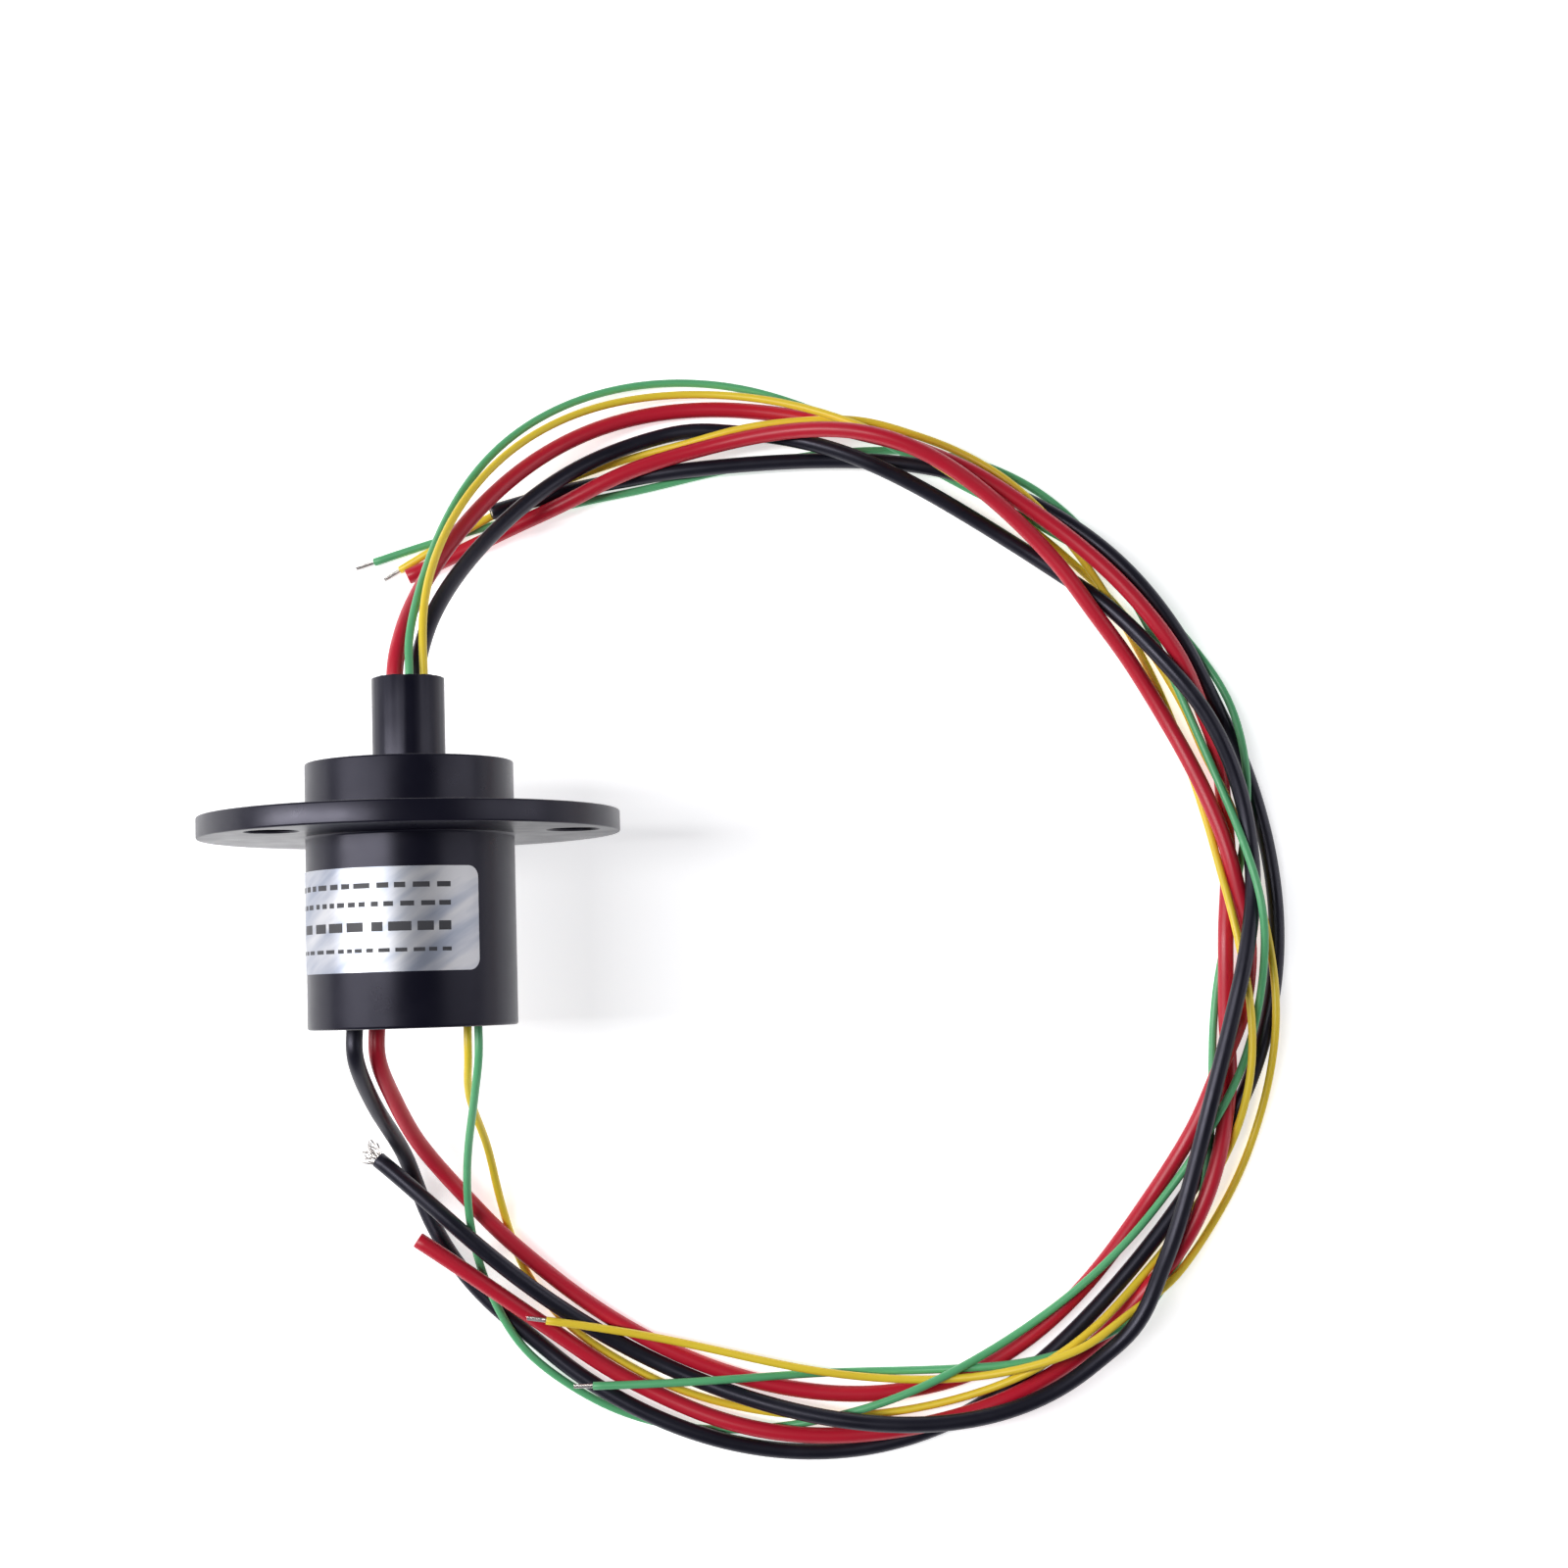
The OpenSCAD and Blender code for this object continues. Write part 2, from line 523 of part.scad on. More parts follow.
// Slip ring with a flat-floored groove for each brush fork
module slip_ring(i, groove_places) {
    floor_r = ring_d / 2 - groove_depth;
    half = groove_w / 2;
    color("gold") along_axis() rotate_extrude() difference() {
        translate([core_d / 2 + press_gap, ring_top(i) - ring_widths[i]])
            square([(ring_d - core_d) / 2 - press_gap, ring_widths[i]]);
        for (place = groove_places) translate([0, ring_middle(i) + place]) polygon([
            [floor_r, -half], [floor_r, half], [ring_d / 2, half + groove_flare],
            [ring_d, half + groove_flare], [ring_d, -half - groove_flare],
            [ring_d / 2, -half - groove_flare]]);
    }
}

module ring_barrier_1() { ring_barrier(0); }
module ring_barrier_2() { ring_barrier(1); }
module ring_barrier_3() { ring_barrier(2); }
module ring_barrier_4() { ring_barrier(3); }
module ring_barrier_5() { ring_barrier(4); }
module power_ring_1() { slip_ring(0, fork_places(0)); }
module power_ring_2() { slip_ring(1, fork_places(1)); }
module signal_ring_1() { slip_ring(2, fork_places(2)); }
module signal_ring_2() { slip_ring(3, fork_places(3)); }

module bearing_spacer_sleeve() {
    color("silver") along_axis()
        tube(rear_bore / 2 + race_wall, rear_bore / 2 + press_gap, sleeve_end, stack_end);
}

// Open ring in the shaft's groove, with its gap toward the table
module rear_circlip() {
    groove_r = rear_bore / 2 - clip_depth + press_gap;
    color("dimgray") along_axis() difference() {
        tube(groove_r + clip_h, groove_r, clip_end + press_gap, rear_seat - press_gap);
        translate([-groove_r / 2, 0, clip_end - cut])
            cube([groove_r, rear_bore, clip_w + 2 * cut]);
    }
}

// Plug in the stub's mouth, with small beads between the leads
module stub_potting() {
    face = mouth - potting_drop;
    beads = [[-1.9, -1.3], [1.9, -0.6], [-0.4, 1.9]];
    color([0.16, 0.16, 0.18]) along_axis() difference() {
        union() {
            translate([0, 0, face - potting_t])
                cylinder(r = passage_d / 2 - press_gap, h = potting_t);
            intersection() {
                cylinder(r = passage_d / 2 - press_gap, h = mouth + barrel_d);
                union() for (place = beads)
                    translate([place.x, place.y, face]) sphere(r = bead, $fn = 24);
            }
        }
        for (i = [0:3])
            translate([rotor_exits[i].x, -rotor_exits[i].y, face - potting_t - cut])
                cylinder(d = lead_ds[i] + 2 * lead_gap, h = potting_t + mouth);
    }
}

// ---- Brushes and boards ----

function fork_places(i) = i < 2 ? [-groove_pitch / 2, groove_pitch / 2] : [0];

module brush_board() {
    color("darkgreen") along_axis() translate([-board_half, board_top, terminal_top])
        cube([2 * board_half, board_t, stack_top - terminal_top]);
}

module terminal_board() {
    color("darkgreen") along_axis()
        tube(bore_r - board_fit, terminal_bore, terminal_end, terminal_top);
}

// Wire bent to a U: a bar on the board and a leg on each side of the ring
module brush_fork() {
    bar_y = board_top - wire_d / 2 - press_gap;
    translate([0, bar_y, 0]) rotate([0, 90, 0])
        cylinder(d = wire_d, h = 2 * leg_x, center = true, $fn = 16);
    for (side = [-1, 1]) translate([side * leg_x, bar_y, 0]) {
        sphere(d = wire_d, $fn = 16);
        rotate([90, 0, 0]) cylinder(d = wire_d, h = bar_y + brush_reach, $fn = 16);
    }
}

module brush(i) {
    color("goldenrod") along_axis() for (place = fork_places(i))
        translate([0, 0, ring_middle(i) + place]) brush_fork();
}

module power_brush_1() { brush(0); }
module power_brush_2() { brush(1); }
module signal_brush_1() { brush(2); }
module signal_brush_2() { brush(3); }

// Solder over the middle of each fork's bar
module brush_solder_joints() {
    bar_y = board_top - wire_d / 2 - press_gap;
    color("silver") along_axis() for (i = [0:3], place = fork_places(i))
        translate([0, 0, ring_middle(i) + place]) difference() {
            translate([0, board_top, 0]) rotate([90, 0, 0])
                cylinder(d1 = dot_d, d2 = dot_d / 2, h = dot_h, $fn = 24);
            translate([0, bar_y, 0]) rotate([0, 90, 0])
                cylinder(d = wire_d + 4 * press_gap, h = 2 * dot_d, center = true, $fn = 16);
        }
}

// Solder around the start of each stator lead
module lead_solder_joints() {
    color("silver") along_axis() for (i = [0:3])
        translate([stator_exits[i].x, -stator_exits[i].y, 0])
            tube(lead_ds[i] / 2 + collar, lead_ds[i] / 2 + press_gap,
                terminal_end - collar_h, terminal_end);
}

// ---- Label ----

// Thin sheet around the barrel
module rating_label() {
    color("whitesmoke") along_axis() rotate([0, 0, label_turn - 90 - label_span])
        rotate_extrude(angle = label_span)
            translate([barrel_r + 2 * press_gap, barrel_end + label_base])
                square([label_t, label_h]);
}

// ---- Leads ----

module rotor_red_lead() {
    color("crimson") lead(rotor_lead_points(0, rotor_red_route), power_lead_d);
}
module rotor_black_lead() {
    color("#28282e") lead(rotor_lead_points(1, rotor_black_route), power_lead_d);
}
module rotor_yellow_lead() {
    color("gold") lead(rotor_lead_points(2, rotor_yellow_route), signal_lead_d);
}
module rotor_green_lead() {
    color("mediumseagreen") lead(rotor_lead_points(3, rotor_green_route), signal_lead_d);
}
module stator_red_lead() {
    color("crimson") lead(stator_lead_points(0, stator_red_route), power_lead_d);
}
module stator_black_lead() {
    color("#28282e") lead(stator_lead_points(1, stator_black_route), power_lead_d);
}
module stator_yellow_lead() {
    color("gold") lead(stator_lead_points(2, stator_yellow_route), signal_lead_d);
}
module stator_green_lead() {
    color("mediumseagreen") lead(stator_lead_points(3, stator_green_route), signal_lead_d);
}

module rotor_yellow_bare_end() {
    color("silver") bare_end(rotor_lead_points(2, rotor_yellow_route), signal_lead_d,
        signal_core_d, bare_l);
}
module rotor_green_bare_end() {
    color("silver") bare_end(rotor_lead_points(3, rotor_green_route), signal_lead_d,
        signal_core_d, bare_l);
}
module stator_yellow_bare_end() {
    color("silver") bare_end(stator_lead_points(2, stator_yellow_route), signal_lead_d,
        signal_core_d, bare_l);
}
module stator_green_bare_end() {
    color("silver") bare_end(stator_lead_points(3, stator_green_route), signal_lead_d,
        signal_core_d, bare_l);
}

// Frayed strands that fan out of the rotor's black lead, as [side, up, spread, length]
module rotor_black_strands() {
    path = smooth(rotor_lead_points(1, rotor_black_route), power_lead_d / 2);
    end = path[len(path) - 1];
    ahead = unit(end - path[len(path) - 2]);
    side = unit(cross([0, 0, 1], ahead));
    up = cross(ahead, side);
    strands = [[-0.5, 0, -0.7, 1.6], [-0.25, 0.4, -0.3, 2.4], [0, 0, 0.1, 2.6],
        [0.25, 0.4, 0.5, 2.2], [0.5, 0, 0.8, 2], [0.1, -0.4, 0.3, 1.8]];
    color("silver") for (s = strands) {
        start = end + s[0] * side + s[1] * up;
        swept_wire([start, start + ahead * s[3] + s[2] * side], strand_d / 2);
    }
}

housing();
rear_cover();
front_bearing_outer_race();
front_bearing_inner_race();
front_bearing_balls();
front_bearing_cage();
rear_bearing_outer_race();
rear_bearing_inner_race();
rear_bearing_balls();
rear_bearing_cage();
rotor_shaft();
ring_barrier_1();
power_ring_1();
ring_barrier_2();
power_ring_2();
ring_barrier_3();
signal_ring_1();
ring_barrier_4();
signal_ring_2();
ring_barrier_5();
bearing_spacer_sleeve();
rear_circlip();
ring_solder_pins();
stub_potting();
brush_board();
terminal_board();
power_brush_1();
power_brush_2();
signal_brush_1();
signal_brush_2();
brush_solder_joints();
lead_solder_joints();
rating_label();
rotor_red_lead();
rotor_black_lead();
rotor_yellow_lead();
rotor_green_lead();
stator_red_lead();
stator_black_lead();
stator_yellow_lead();
stator_green_lead();
rotor_black_strands();
rotor_yellow_bare_end();
rotor_green_bare_end();
stator_yellow_bare_end();
stator_green_bare_end();
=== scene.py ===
# %% [markdown]
# # Capsule slip ring: the looks
#
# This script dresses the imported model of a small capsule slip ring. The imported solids
# give every place and size, and each cell below adds one thing to them: the camera, the
# leads, the moulded housing, the label, the materials, and a soft studio around it all.
#
# Lengths are in metres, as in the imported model. `MM` turns a drawing's millimetres into
# metres. The spin axis is +Y, and the table lies at the housing's lowest point.

import json
import math
import random

import bmesh
import bpy
import numpy as np
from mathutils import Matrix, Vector


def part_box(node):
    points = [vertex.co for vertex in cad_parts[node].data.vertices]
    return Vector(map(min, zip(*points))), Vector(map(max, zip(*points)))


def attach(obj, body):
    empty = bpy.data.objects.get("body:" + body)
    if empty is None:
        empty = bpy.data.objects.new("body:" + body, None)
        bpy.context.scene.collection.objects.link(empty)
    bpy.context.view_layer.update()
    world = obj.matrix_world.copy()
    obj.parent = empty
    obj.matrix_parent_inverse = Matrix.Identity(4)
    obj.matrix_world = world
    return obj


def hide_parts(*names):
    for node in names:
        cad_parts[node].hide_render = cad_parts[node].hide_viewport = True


MM = 0.001
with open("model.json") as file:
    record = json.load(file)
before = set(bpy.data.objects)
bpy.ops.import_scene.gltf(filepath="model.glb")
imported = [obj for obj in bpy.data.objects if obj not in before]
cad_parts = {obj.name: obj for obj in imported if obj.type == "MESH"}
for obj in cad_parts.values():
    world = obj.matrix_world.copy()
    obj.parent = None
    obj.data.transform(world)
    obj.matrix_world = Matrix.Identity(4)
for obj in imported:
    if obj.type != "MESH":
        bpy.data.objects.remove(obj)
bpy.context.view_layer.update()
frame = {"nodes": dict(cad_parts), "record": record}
nodes = frame["nodes"]
scene = bpy.context.scene
random.seed(7)

# %% [markdown]
# ## Driving sizes
#
# The housing's box gives the flange, the length of the barrel and the table. The other
# pieces are thin, so their sizes are written here once.

# %% Sizes of the housing, stub and label
housing_low, housing_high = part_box("housing")
shaft_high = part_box("rotor_shaft")[1]
cover_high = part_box("rear_cover")[1]

TABLE = housing_low[2]
BARREL_END = housing_low[1]
BOSS_TOP = housing_high[1]
MOUTH = shaft_high[1]
FLANGE_R = housing_high[0]
BARREL_R = 11 * MM
BORE_R = cover_high[0] + 0.05 * MM
FLANGE_T = 2.3 * MM
LIP_R = 4.3 * MM
HOLE_R = 2.7 * MM
HOLE_CIRCLE_R = FLANGE_R - 4.25 * MM
HOLE_ANGLES = [math.radians(12 + 120 * i) for i in range(3)]
STUB_R = 3.85 * MM
PASSAGE_R = 2.7 * MM
POWER_R = 0.9 * MM
SIGNAL_R = 0.45 * MM
print("flange radius %.5f, barrel end %.5f, table %.5f" % (FLANGE_R, BARREL_END, TABLE))

# %% [markdown]
# ## Camera
#
# It looks almost straight down on the table, with the spin axis up the picture.

# %% Camera
camera_data = bpy.data.cameras.new("overhead_camera")
camera_data.sensor_width = 36
camera_data.lens = 56.25
camera = bpy.data.objects.new("overhead_camera", camera_data)
camera.location = (0.0392, -0.0174, 0.260)
camera.rotation_euler = (math.radians(4.8), 0, math.radians(-1.69))
scene.collection.objects.link(camera)
scene.camera = camera
print("camera", camera.location[:], "lens", camera_data.lens)

# %% [markdown]
# ## Mesh helpers
#
# Almost every piece is a band of quads between rings of points. A lead's rings follow
# its route, a turned part's rings go round the spin axis.


# %% Bands of quads between rings of points
def mesh_piece(name, points, faces, smooth_angle=35):
    mesh = bpy.data.meshes.new(name)
    mesh.from_pydata([tuple(p) for p in points], [], faces)
    mesh.validate()
    piece = bpy.data.objects.new(name, mesh)
    scene.collection.objects.link(piece)
    bm = bmesh.new()
    bm.from_mesh(mesh)
    bmesh.ops.remove_doubles(bm, verts=bm.verts, dist=0.0005 * MM)
    bmesh.ops.recalc_face_normals(bm, faces=bm.faces)
    for edge in bm.edges:
        if len(edge.link_faces) == 2:
            edge.smooth = edge.calc_face_angle(0) < math.radians(smooth_angle)
    for face in bm.faces:
        face.smooth = True
    bm.to_mesh(mesh)
    bm.free()
    return piece


def band_faces(rings, sides, first=0, around=False):
    """Quads between each ring and the next; around joins the last ring to the first."""
    faces = []
    for ring in range(rings if around else rings - 1):
        here = first + ring * sides
        there = first + (ring + 1) % rings * sides
        for k in range(sides):
            after = (k + 1) % sides
            faces.append((here + k, here + after, there + after, there + k))
    return faces


def directions(path):
    """Unit direction of the path at each of its points."""
    ahead = np.gradient(np.asarray(path, float), axis=0)
    return ahead / np.linalg.norm(ahead, axis=1)[:, None]


def tube_parts(path, radii, sides, first=0, ahead=None):
    """Rings around a path, without twist, and the faces that close it."""
    path = np.asarray(path, float)
    if ahead is None:
        ahead = directions(path)
    side = np.cross(ahead[0], (0.0, 0.0, 1.0))
    if np.linalg.norm(side) < 0.1:
        side = np.cross(ahead[0], (1.0, 0.0, 0.0))
    angles = np.arange(sides) * 2 * math.pi / sides
    points = []
    for centre, forward, radius in zip(path, ahead, radii):
        side = side - forward * np.dot(side, forward)
        side /= np.linalg.norm(side)
        up = np.cross(forward, side)
        points += [centre + radius * (math.cos(a) * side + math.sin(a) * up) for a in angles]
    faces = band_faces(len(path), sides, first)
    faces.append(tuple(first + k for k in reversed(range(sides))))
    faces.append(tuple(first + (len(path) - 1) * sides + k for k in range(sides)))
    return points, faces


def joined(name, parts, smooth_angle=35):
    """One piece from several closed shells, each a function of its first point's number."""
    points, faces = [], []
    for part in parts:
        more_points, more_faces = part(len(points))
        points += more_points
        faces += more_faces
    return mesh_piece(name, points, faces, smooth_angle)


print("mesh helpers ready")

# %% [markdown]
# ## Leads
#
# Eight leads of 300 mm leave the slip ring, four from the turning stub and four from the
# rear cover. Each follows a listed route: `(x, y, rise)` in millimetres, where rise is the
# height of the lead's underside above the table.
#
# A route is best chosen by hand, point by point. Most of these points were not: they came
# from a settling simulation run beforehand, rounded to half a millimetre. Many heights and
# some places were moved afterwards. The imported model has the same points, so the visible
# leads stay within 2.5 mm of its own.
#
# The stub's four leads turn with it as one stiff loop. At some angles that loop passes
# through the other four leads, which real, flexible leads would not do.

# %% Routes of the leads
ROUTES = {
    "rotor": {
        "red": [
            (-0.9, 21, 20.8), (0, 25, 18), (2.5, 31, 13), (6, 37, 9), (10.5, 43, 5),
            (16.5, 47, 2.5), (24.5, 50, 0.5), (33, 50.5, 0), (41, 49, 0.5), (49, 46.5, 1),
            (57, 44, 4), (64, 40.5, 3), (70.5, 35.5, 3), (77, 30, 3), (83, 23.5, 4),
            (87, 16, 2.5), (90, 8.5, 0.5), (91.5, 0.5, 0), (90, -7.5, 1), (89, -16, 1.5),
            (89, -24, 0), (89.5, -32.5, 2), (87.5, -40.5, 3), (83.5, -47.5, 1.5), (78, -53.5, 0),
            (72, -59.5, 0), (65, -63, 2), (57, -65, 1.5), (48.5, -67, 1), (40.5, -67.5, 1.5),
            (32, -66, 2), (24, -63, 0), (17, -58.5, 0.5), (10.5, -53.5, 1.5), (4, -48.5, 4),
            (-2.5, -44, 4.5),
        ],
        "black": [
            (1.3, 21, 19), (2.5, 25, 17), (5, 31, 12), (9, 37, 7), (14.5, 41.5, 3.5),
            (21.5, 46, 1), (29.5, 48, 0), (38, 47.5, 0), (45.5, 44.5, 3), (53, 41, 3),
            (60.5, 37.5, 1), (67.5, 33, 0), (74.5, 28.5, 1.5), (80.5, 22.5, 2), (85.5, 16, 4.5),
            (90, 9, 3.5), (93, 1, 3), (94, -7, 2.5), (91.5, -15, 5), (88, -23, 4.5),
            (85.5, -30.5, 4.5), (84.5, -39, 3.5), (82, -47, 3), (79, -55, 4), (73, -60.5, 2),
            (65.5, -64.5, 3.5), (57.5, -66, 3.5), (49, -65.5, 3.5), (41, -64, 3.5),
            (33, -62.5, 1), (25, -60, 0.5), (17.5, -55.5, 0.5), (11, -51, 2.5), (4.5, -46, 4.5),
            (-1, -40, 4.5), (-7, -35, 3.5),
        ],
        "yellow": [
            (1.7, 21, 22.2), (1.7, 25, 21), (2, 32, 16.5), (4.5, 39, 11.5), (9.5, 44.5, 7.5),
            (16.5, 48.5, 4.5), (24, 51.5, 2), (32.5, 52, 1), (41, 50.5, 3), (48.5, 47.5, 4.5),
            (56, 43, 5.5), (63, 39, 3.5), (70.5, 34.5, 0.5), (77, 29, 0), (82, 22, 0),
            (86, 14.5, 0), (89, 6.5, 1), (92, -1.5, 2.5), (94, -9.5, 0.5), (95, -18, 2.5),
            (95.5, -26.5, 1), (92, -34.5, 0), (88.5, -42.5, 0), (84.5, -49.5, 1),
            (77.5, -54.5, 3.5), (70, -58.5, 5), (62, -61, 3), (53.5, -61.5, 1.5), (45, -61, 1.5),
            (36.5, -59, 2), (28.5, -57, 1), (20, -55, 2.5), (11.5, -53.5, 3.5),
        ],
        "green": [
            (0.3, 21, 22.5), (0.7, 25, 20.5), (1.2, 31.5, 15.5), (3.5, 38.5, 10.5),
            (7.5, 45, 6.5), (14, 49.5, 3), (21.5, 53, 1), (30, 53.5, 0), (38.5, 52.5, 0),
            (46.5, 49.5, 0), (53, 45, 1), (60, 40.5, 0.5), (68, 37.5, 0), (75, 32.5, 1),
            (81.5, 27.5, 1), (87.5, 21, 0), (92, 13.5, 1), (93.5, 5.5, 2.5), (92.5, -3, 0.5),
            (90, -11, 0), (88, -19, 0), (87.5, -28, 0), (87, -36, 2.5), (85.5, -44, 1),
            (82, -52, 0), (75.5, -57, 2), (67.5, -59, 2.5), (59, -60.5, 1.5), (50.5, -60.5, 0),
            (42, -60.5, 0), (33.5, -60.5, 2.5), (25, -61, 2.5), (16.5, -61, 2.5),
        ],
    },
    "stator": {
        "red": [
            (-3.8, -28, 11.5), (-2, -33, 6.5), (1.5, -38.5, 2), (6, -45, 1.5), (13.5, -50.5, 0),
            (20.5, -55, 0), (28, -59, 0), (36, -61.5, 0), (44.5, -62.5, 0), (53, -62.5, 0),
            (61, -61.5, 0), (67.5, -56.5, 0), (73.5, -50.5, 0), (78, -43, 0), (83.5, -36.5, 0),
            (87.5, -29.5, 3), (91.5, -22.5, 1.5), (92, -14.5, 0.5), (91, -6.5, 3),
            (88.5, 1.5, 2), (85.5, 9.5, 1), (81.5, 17, 0.5), (76.5, 23.5, 2.5), (72, 30.5, 3.5),
            (66, 36.5, 3.5), (59.5, 41.5, 6), (52.5, 46.5, 7), (44.5, 46.5, 5), (36, 45.5, 2),
            (28, 44.5, 1.5), (20, 42, 2.5), (13, 38, 0.5), (5, 35, 0), (-3, 31.5, 0.5),
        ],
        "black": [
            (-6, -28.5, 11.5), (-4.2, -34.5, 2.5), (-2, -41, 0), (3.5, -46.5, 0),
            (8.5, -53.5, 0), (14.5, -59.5, 0), (22, -64, 1), (29.5, -67.5, 1), (38, -69, 0),
            (46.5, -69, 0), (55, -67.5, 0), (62.5, -64, 0), (69, -58, 0), (75, -52.5, 0),
            (80.5, -45.5, 0.5), (85.5, -39, 0), (91.5, -32.5, 0.5), (94, -24.5, 0), (96, -16, 0),
            (95.5, -7.5, 0), (94.5, 1, 0), (92, 9, 0), (88.5, 17, 0), (84, 24, 2), (79, 31, 2.5),
            (72.5, 36.5, 0.5), (65.5, 40.5, 0), (57, 43, 2.2), (48.5, 43.5, 1), (40, 43, 0.5),
            (31.5, 42.5, 1.5), (23, 42.5, 0), (14.5, 41, 0), (7, 38.5, 2),
        ],
        "yellow": [
            (4.5, -28, 12), (5.5, -34, 5), (6.5, -41, 1), (8, -48, 0), (13.5, -54, 0.5),
            (20, -59, 0), (28, -62.5, 0), (36, -65, 0), (44, -65.5, 0.5), (52.5, -64.5, 1),
            (60.5, -62.5, 2), (68.5, -60, 4), (75, -54.5, 2), (80.5, -48.5, 0), (85.5, -41.5, 0),
            (91, -35.5, 2), (92, -27.5, 4), (91.5, -19, 4), (90, -11, 3.5), (88.5, -3, 2),
            (87.5, 5.5, 0), (85, 13.5, 0), (81, 21, 0), (77, 28, 1), (71.5, 35, 2),
            (66.5, 41.5, 2.5), (59.5, 45.5, 1), (51, 47.5, 2.5), (43, 48, 3), (34.5, 47, 2),
            (26.5, 45.5, 0), (18, 43.5, 0), (10, 41, 0), (3.5, 36.5, 1.5), (-4, 32.5, 0),
        ],
        "green": [
            (5.4, -28, 15), (3.8, -34.5, 9), (3, -41.5, 4), (4, -49.5, 2.5), (8, -56.5, 1),
            (15, -62, 0), (22.5, -65.5, 0), (31, -66.5, 0), (39.5, -66, 1), (48, -64, 2.5),
            (55.5, -61, 3), (63, -57.5, 1), (70.5, -53, 2), (76.5, -47.5, 2), (82, -41, 1),
            (86.5, -34, 3.5), (91.5, -27, 3), (93.5, -19, 2.5), (94, -10.5, 6), (91.5, -2.5, 4),
            (89, 5.5, 2.5), (86, 14, 1.5), (83, 21.5, 1), (79.5, 29.5, 0), (74.5, 36.5, 0),
            (68, 41.5, 0), (60, 44.5, 0), (51.5, 44.5, 0), (43, 44.5, 0), (34.5, 43.5, 0),
            (26, 41, 0), (17.5, 40, 0), (9.5, 38.5, 0), (1, 36, 0), (-7, 33.5, 0),
        ],
    },
}
print("routes:", sum(len(routes) for routes in ROUTES.values()))

# %% [markdown]
# A lead first runs straight out of its hole and then joins its route. The points are
# joined with a smooth curve that never sinks into the table.

# %% Lead paths
ROW_R = 7.43
RING_TAILS = [-0.85, -4.45, -7.55, -10.15]
ROTOR_EXITS = [(-1.3, 0.65), (0.8, -1.35), (1.8, 0.7), (0.4, 1.7)]
STATOR_TURNS = [-130, -155, -48, -32]
COLOURS = ["red", "black", "yellow", "green"]


def stator_exit(turn):
    return (ROW_R * math.cos(math.radians(turn)), ROW_R * math.sin(math.radians(turn)))


def smooth_path(points, radius, steps=8):
    points = [np.array(p, float) for p in points]
    points = [2 * points[0] - points[1]] + points + [2 * points[-1] - points[-2]]
    path = []
    for a, b, c, d in zip(points, points[1:], points[2:], points[3:]):
        for t in np.arange(steps) / steps:
            bend = (2 * a - 5 * b + 4 * c - d) * t**2 + (3 * b - a - 3 * c + d) * t**3
            path.append(0.5 * (2 * b + (c - a) * t + bend))
    path = np.array(path + [points[-2]]) * MM
    path[:, 2] = np.maximum(path[:, 2], TABLE + radius)
    return path


def lead_path(side, index):
    radius = POWER_R if index < 2 else SIGNAL_R
    if side == "rotor":
        exit_place = ROTOR_EXITS[index]
        stops = [RING_TAILS[index], 8, 13, 17.5]
    else:
        exit_place = stator_exit(STATOR_TURNS[index])
        stops = [-14.5, -19, -23.5]
    straight = [[exit_place[0], y, exit_place[1]] for y in stops]
    low = TABLE / MM + radius / MM
    laid = [[x, y, low + rise] for x, y, rise in ROUTES[side][COLOURS[index]]]
    mouth = MOUTH if side == "rotor" else BARREL_END
    exit_point = (exit_place[0] * MM, mouth, exit_place[1] * MM)
    return smooth_path(straight + laid, radius), exit_point, radius


paths = {}
for side in ("rotor", "stator"):
    for index, colour in enumerate(COLOURS):
        paths[side, colour] = lead_path(side, index)
        steps = np.diff(paths[side, colour][0], axis=0)
        print(side, colour, "lead %.4f m" % np.linalg.norm(steps, axis=1).sum())

# %% [markdown]
# Insulated wire is springy, so its curvature changes slowly. A cloth or rope simulation
# could find such a curve, but a small linear solve gives the same one each run. The next
# cell evens out each curve while its two ends stay put, and then pushes apart the leads
# that touch. A push is shared with the points around it, or it would leave a kink.
#
# The stiffness pairs are for the plan and for the height. They were found by trying: more
# stiffness pulled the curves off their routes and left kinks where leads were pushed apart.

# %% Springy leads
STIFFNESS = {POWER_R: (6e5, 1e4), SIGNAL_R: (2e5, 3e3)}
HOLD_WEIGHT = 1e7
HELD_START, HELD_TIP = 34, 2
UNPUSHED_START = 30
PUSH_WINDOW, PUSH_GAIN, PUSH_STEP = 15, 2.5, 0.8
CLOSE_ENOUGH = 0.02 * MM


def evened(path, stiffness_plan, stiffness_height):
    """Path whose curvature changes slowly, held at its straight start and its tip."""
    count = len(path)
    third = np.diff(np.eye(count), n=3, axis=0)
    hold = np.full(count, 1.0)
    hold[:HELD_START] = HOLD_WEIGHT
    hold[-HELD_TIP:] = HOLD_WEIGHT
    result = path.copy()
    for axis, stiffness in ((0, stiffness_plan), (1, stiffness_plan), (2, stiffness_height)):
        system = np.diag(hold) + stiffness * third.T @ third
        result[:, axis] = np.linalg.solve(system, hold * path[:, axis])
    return result


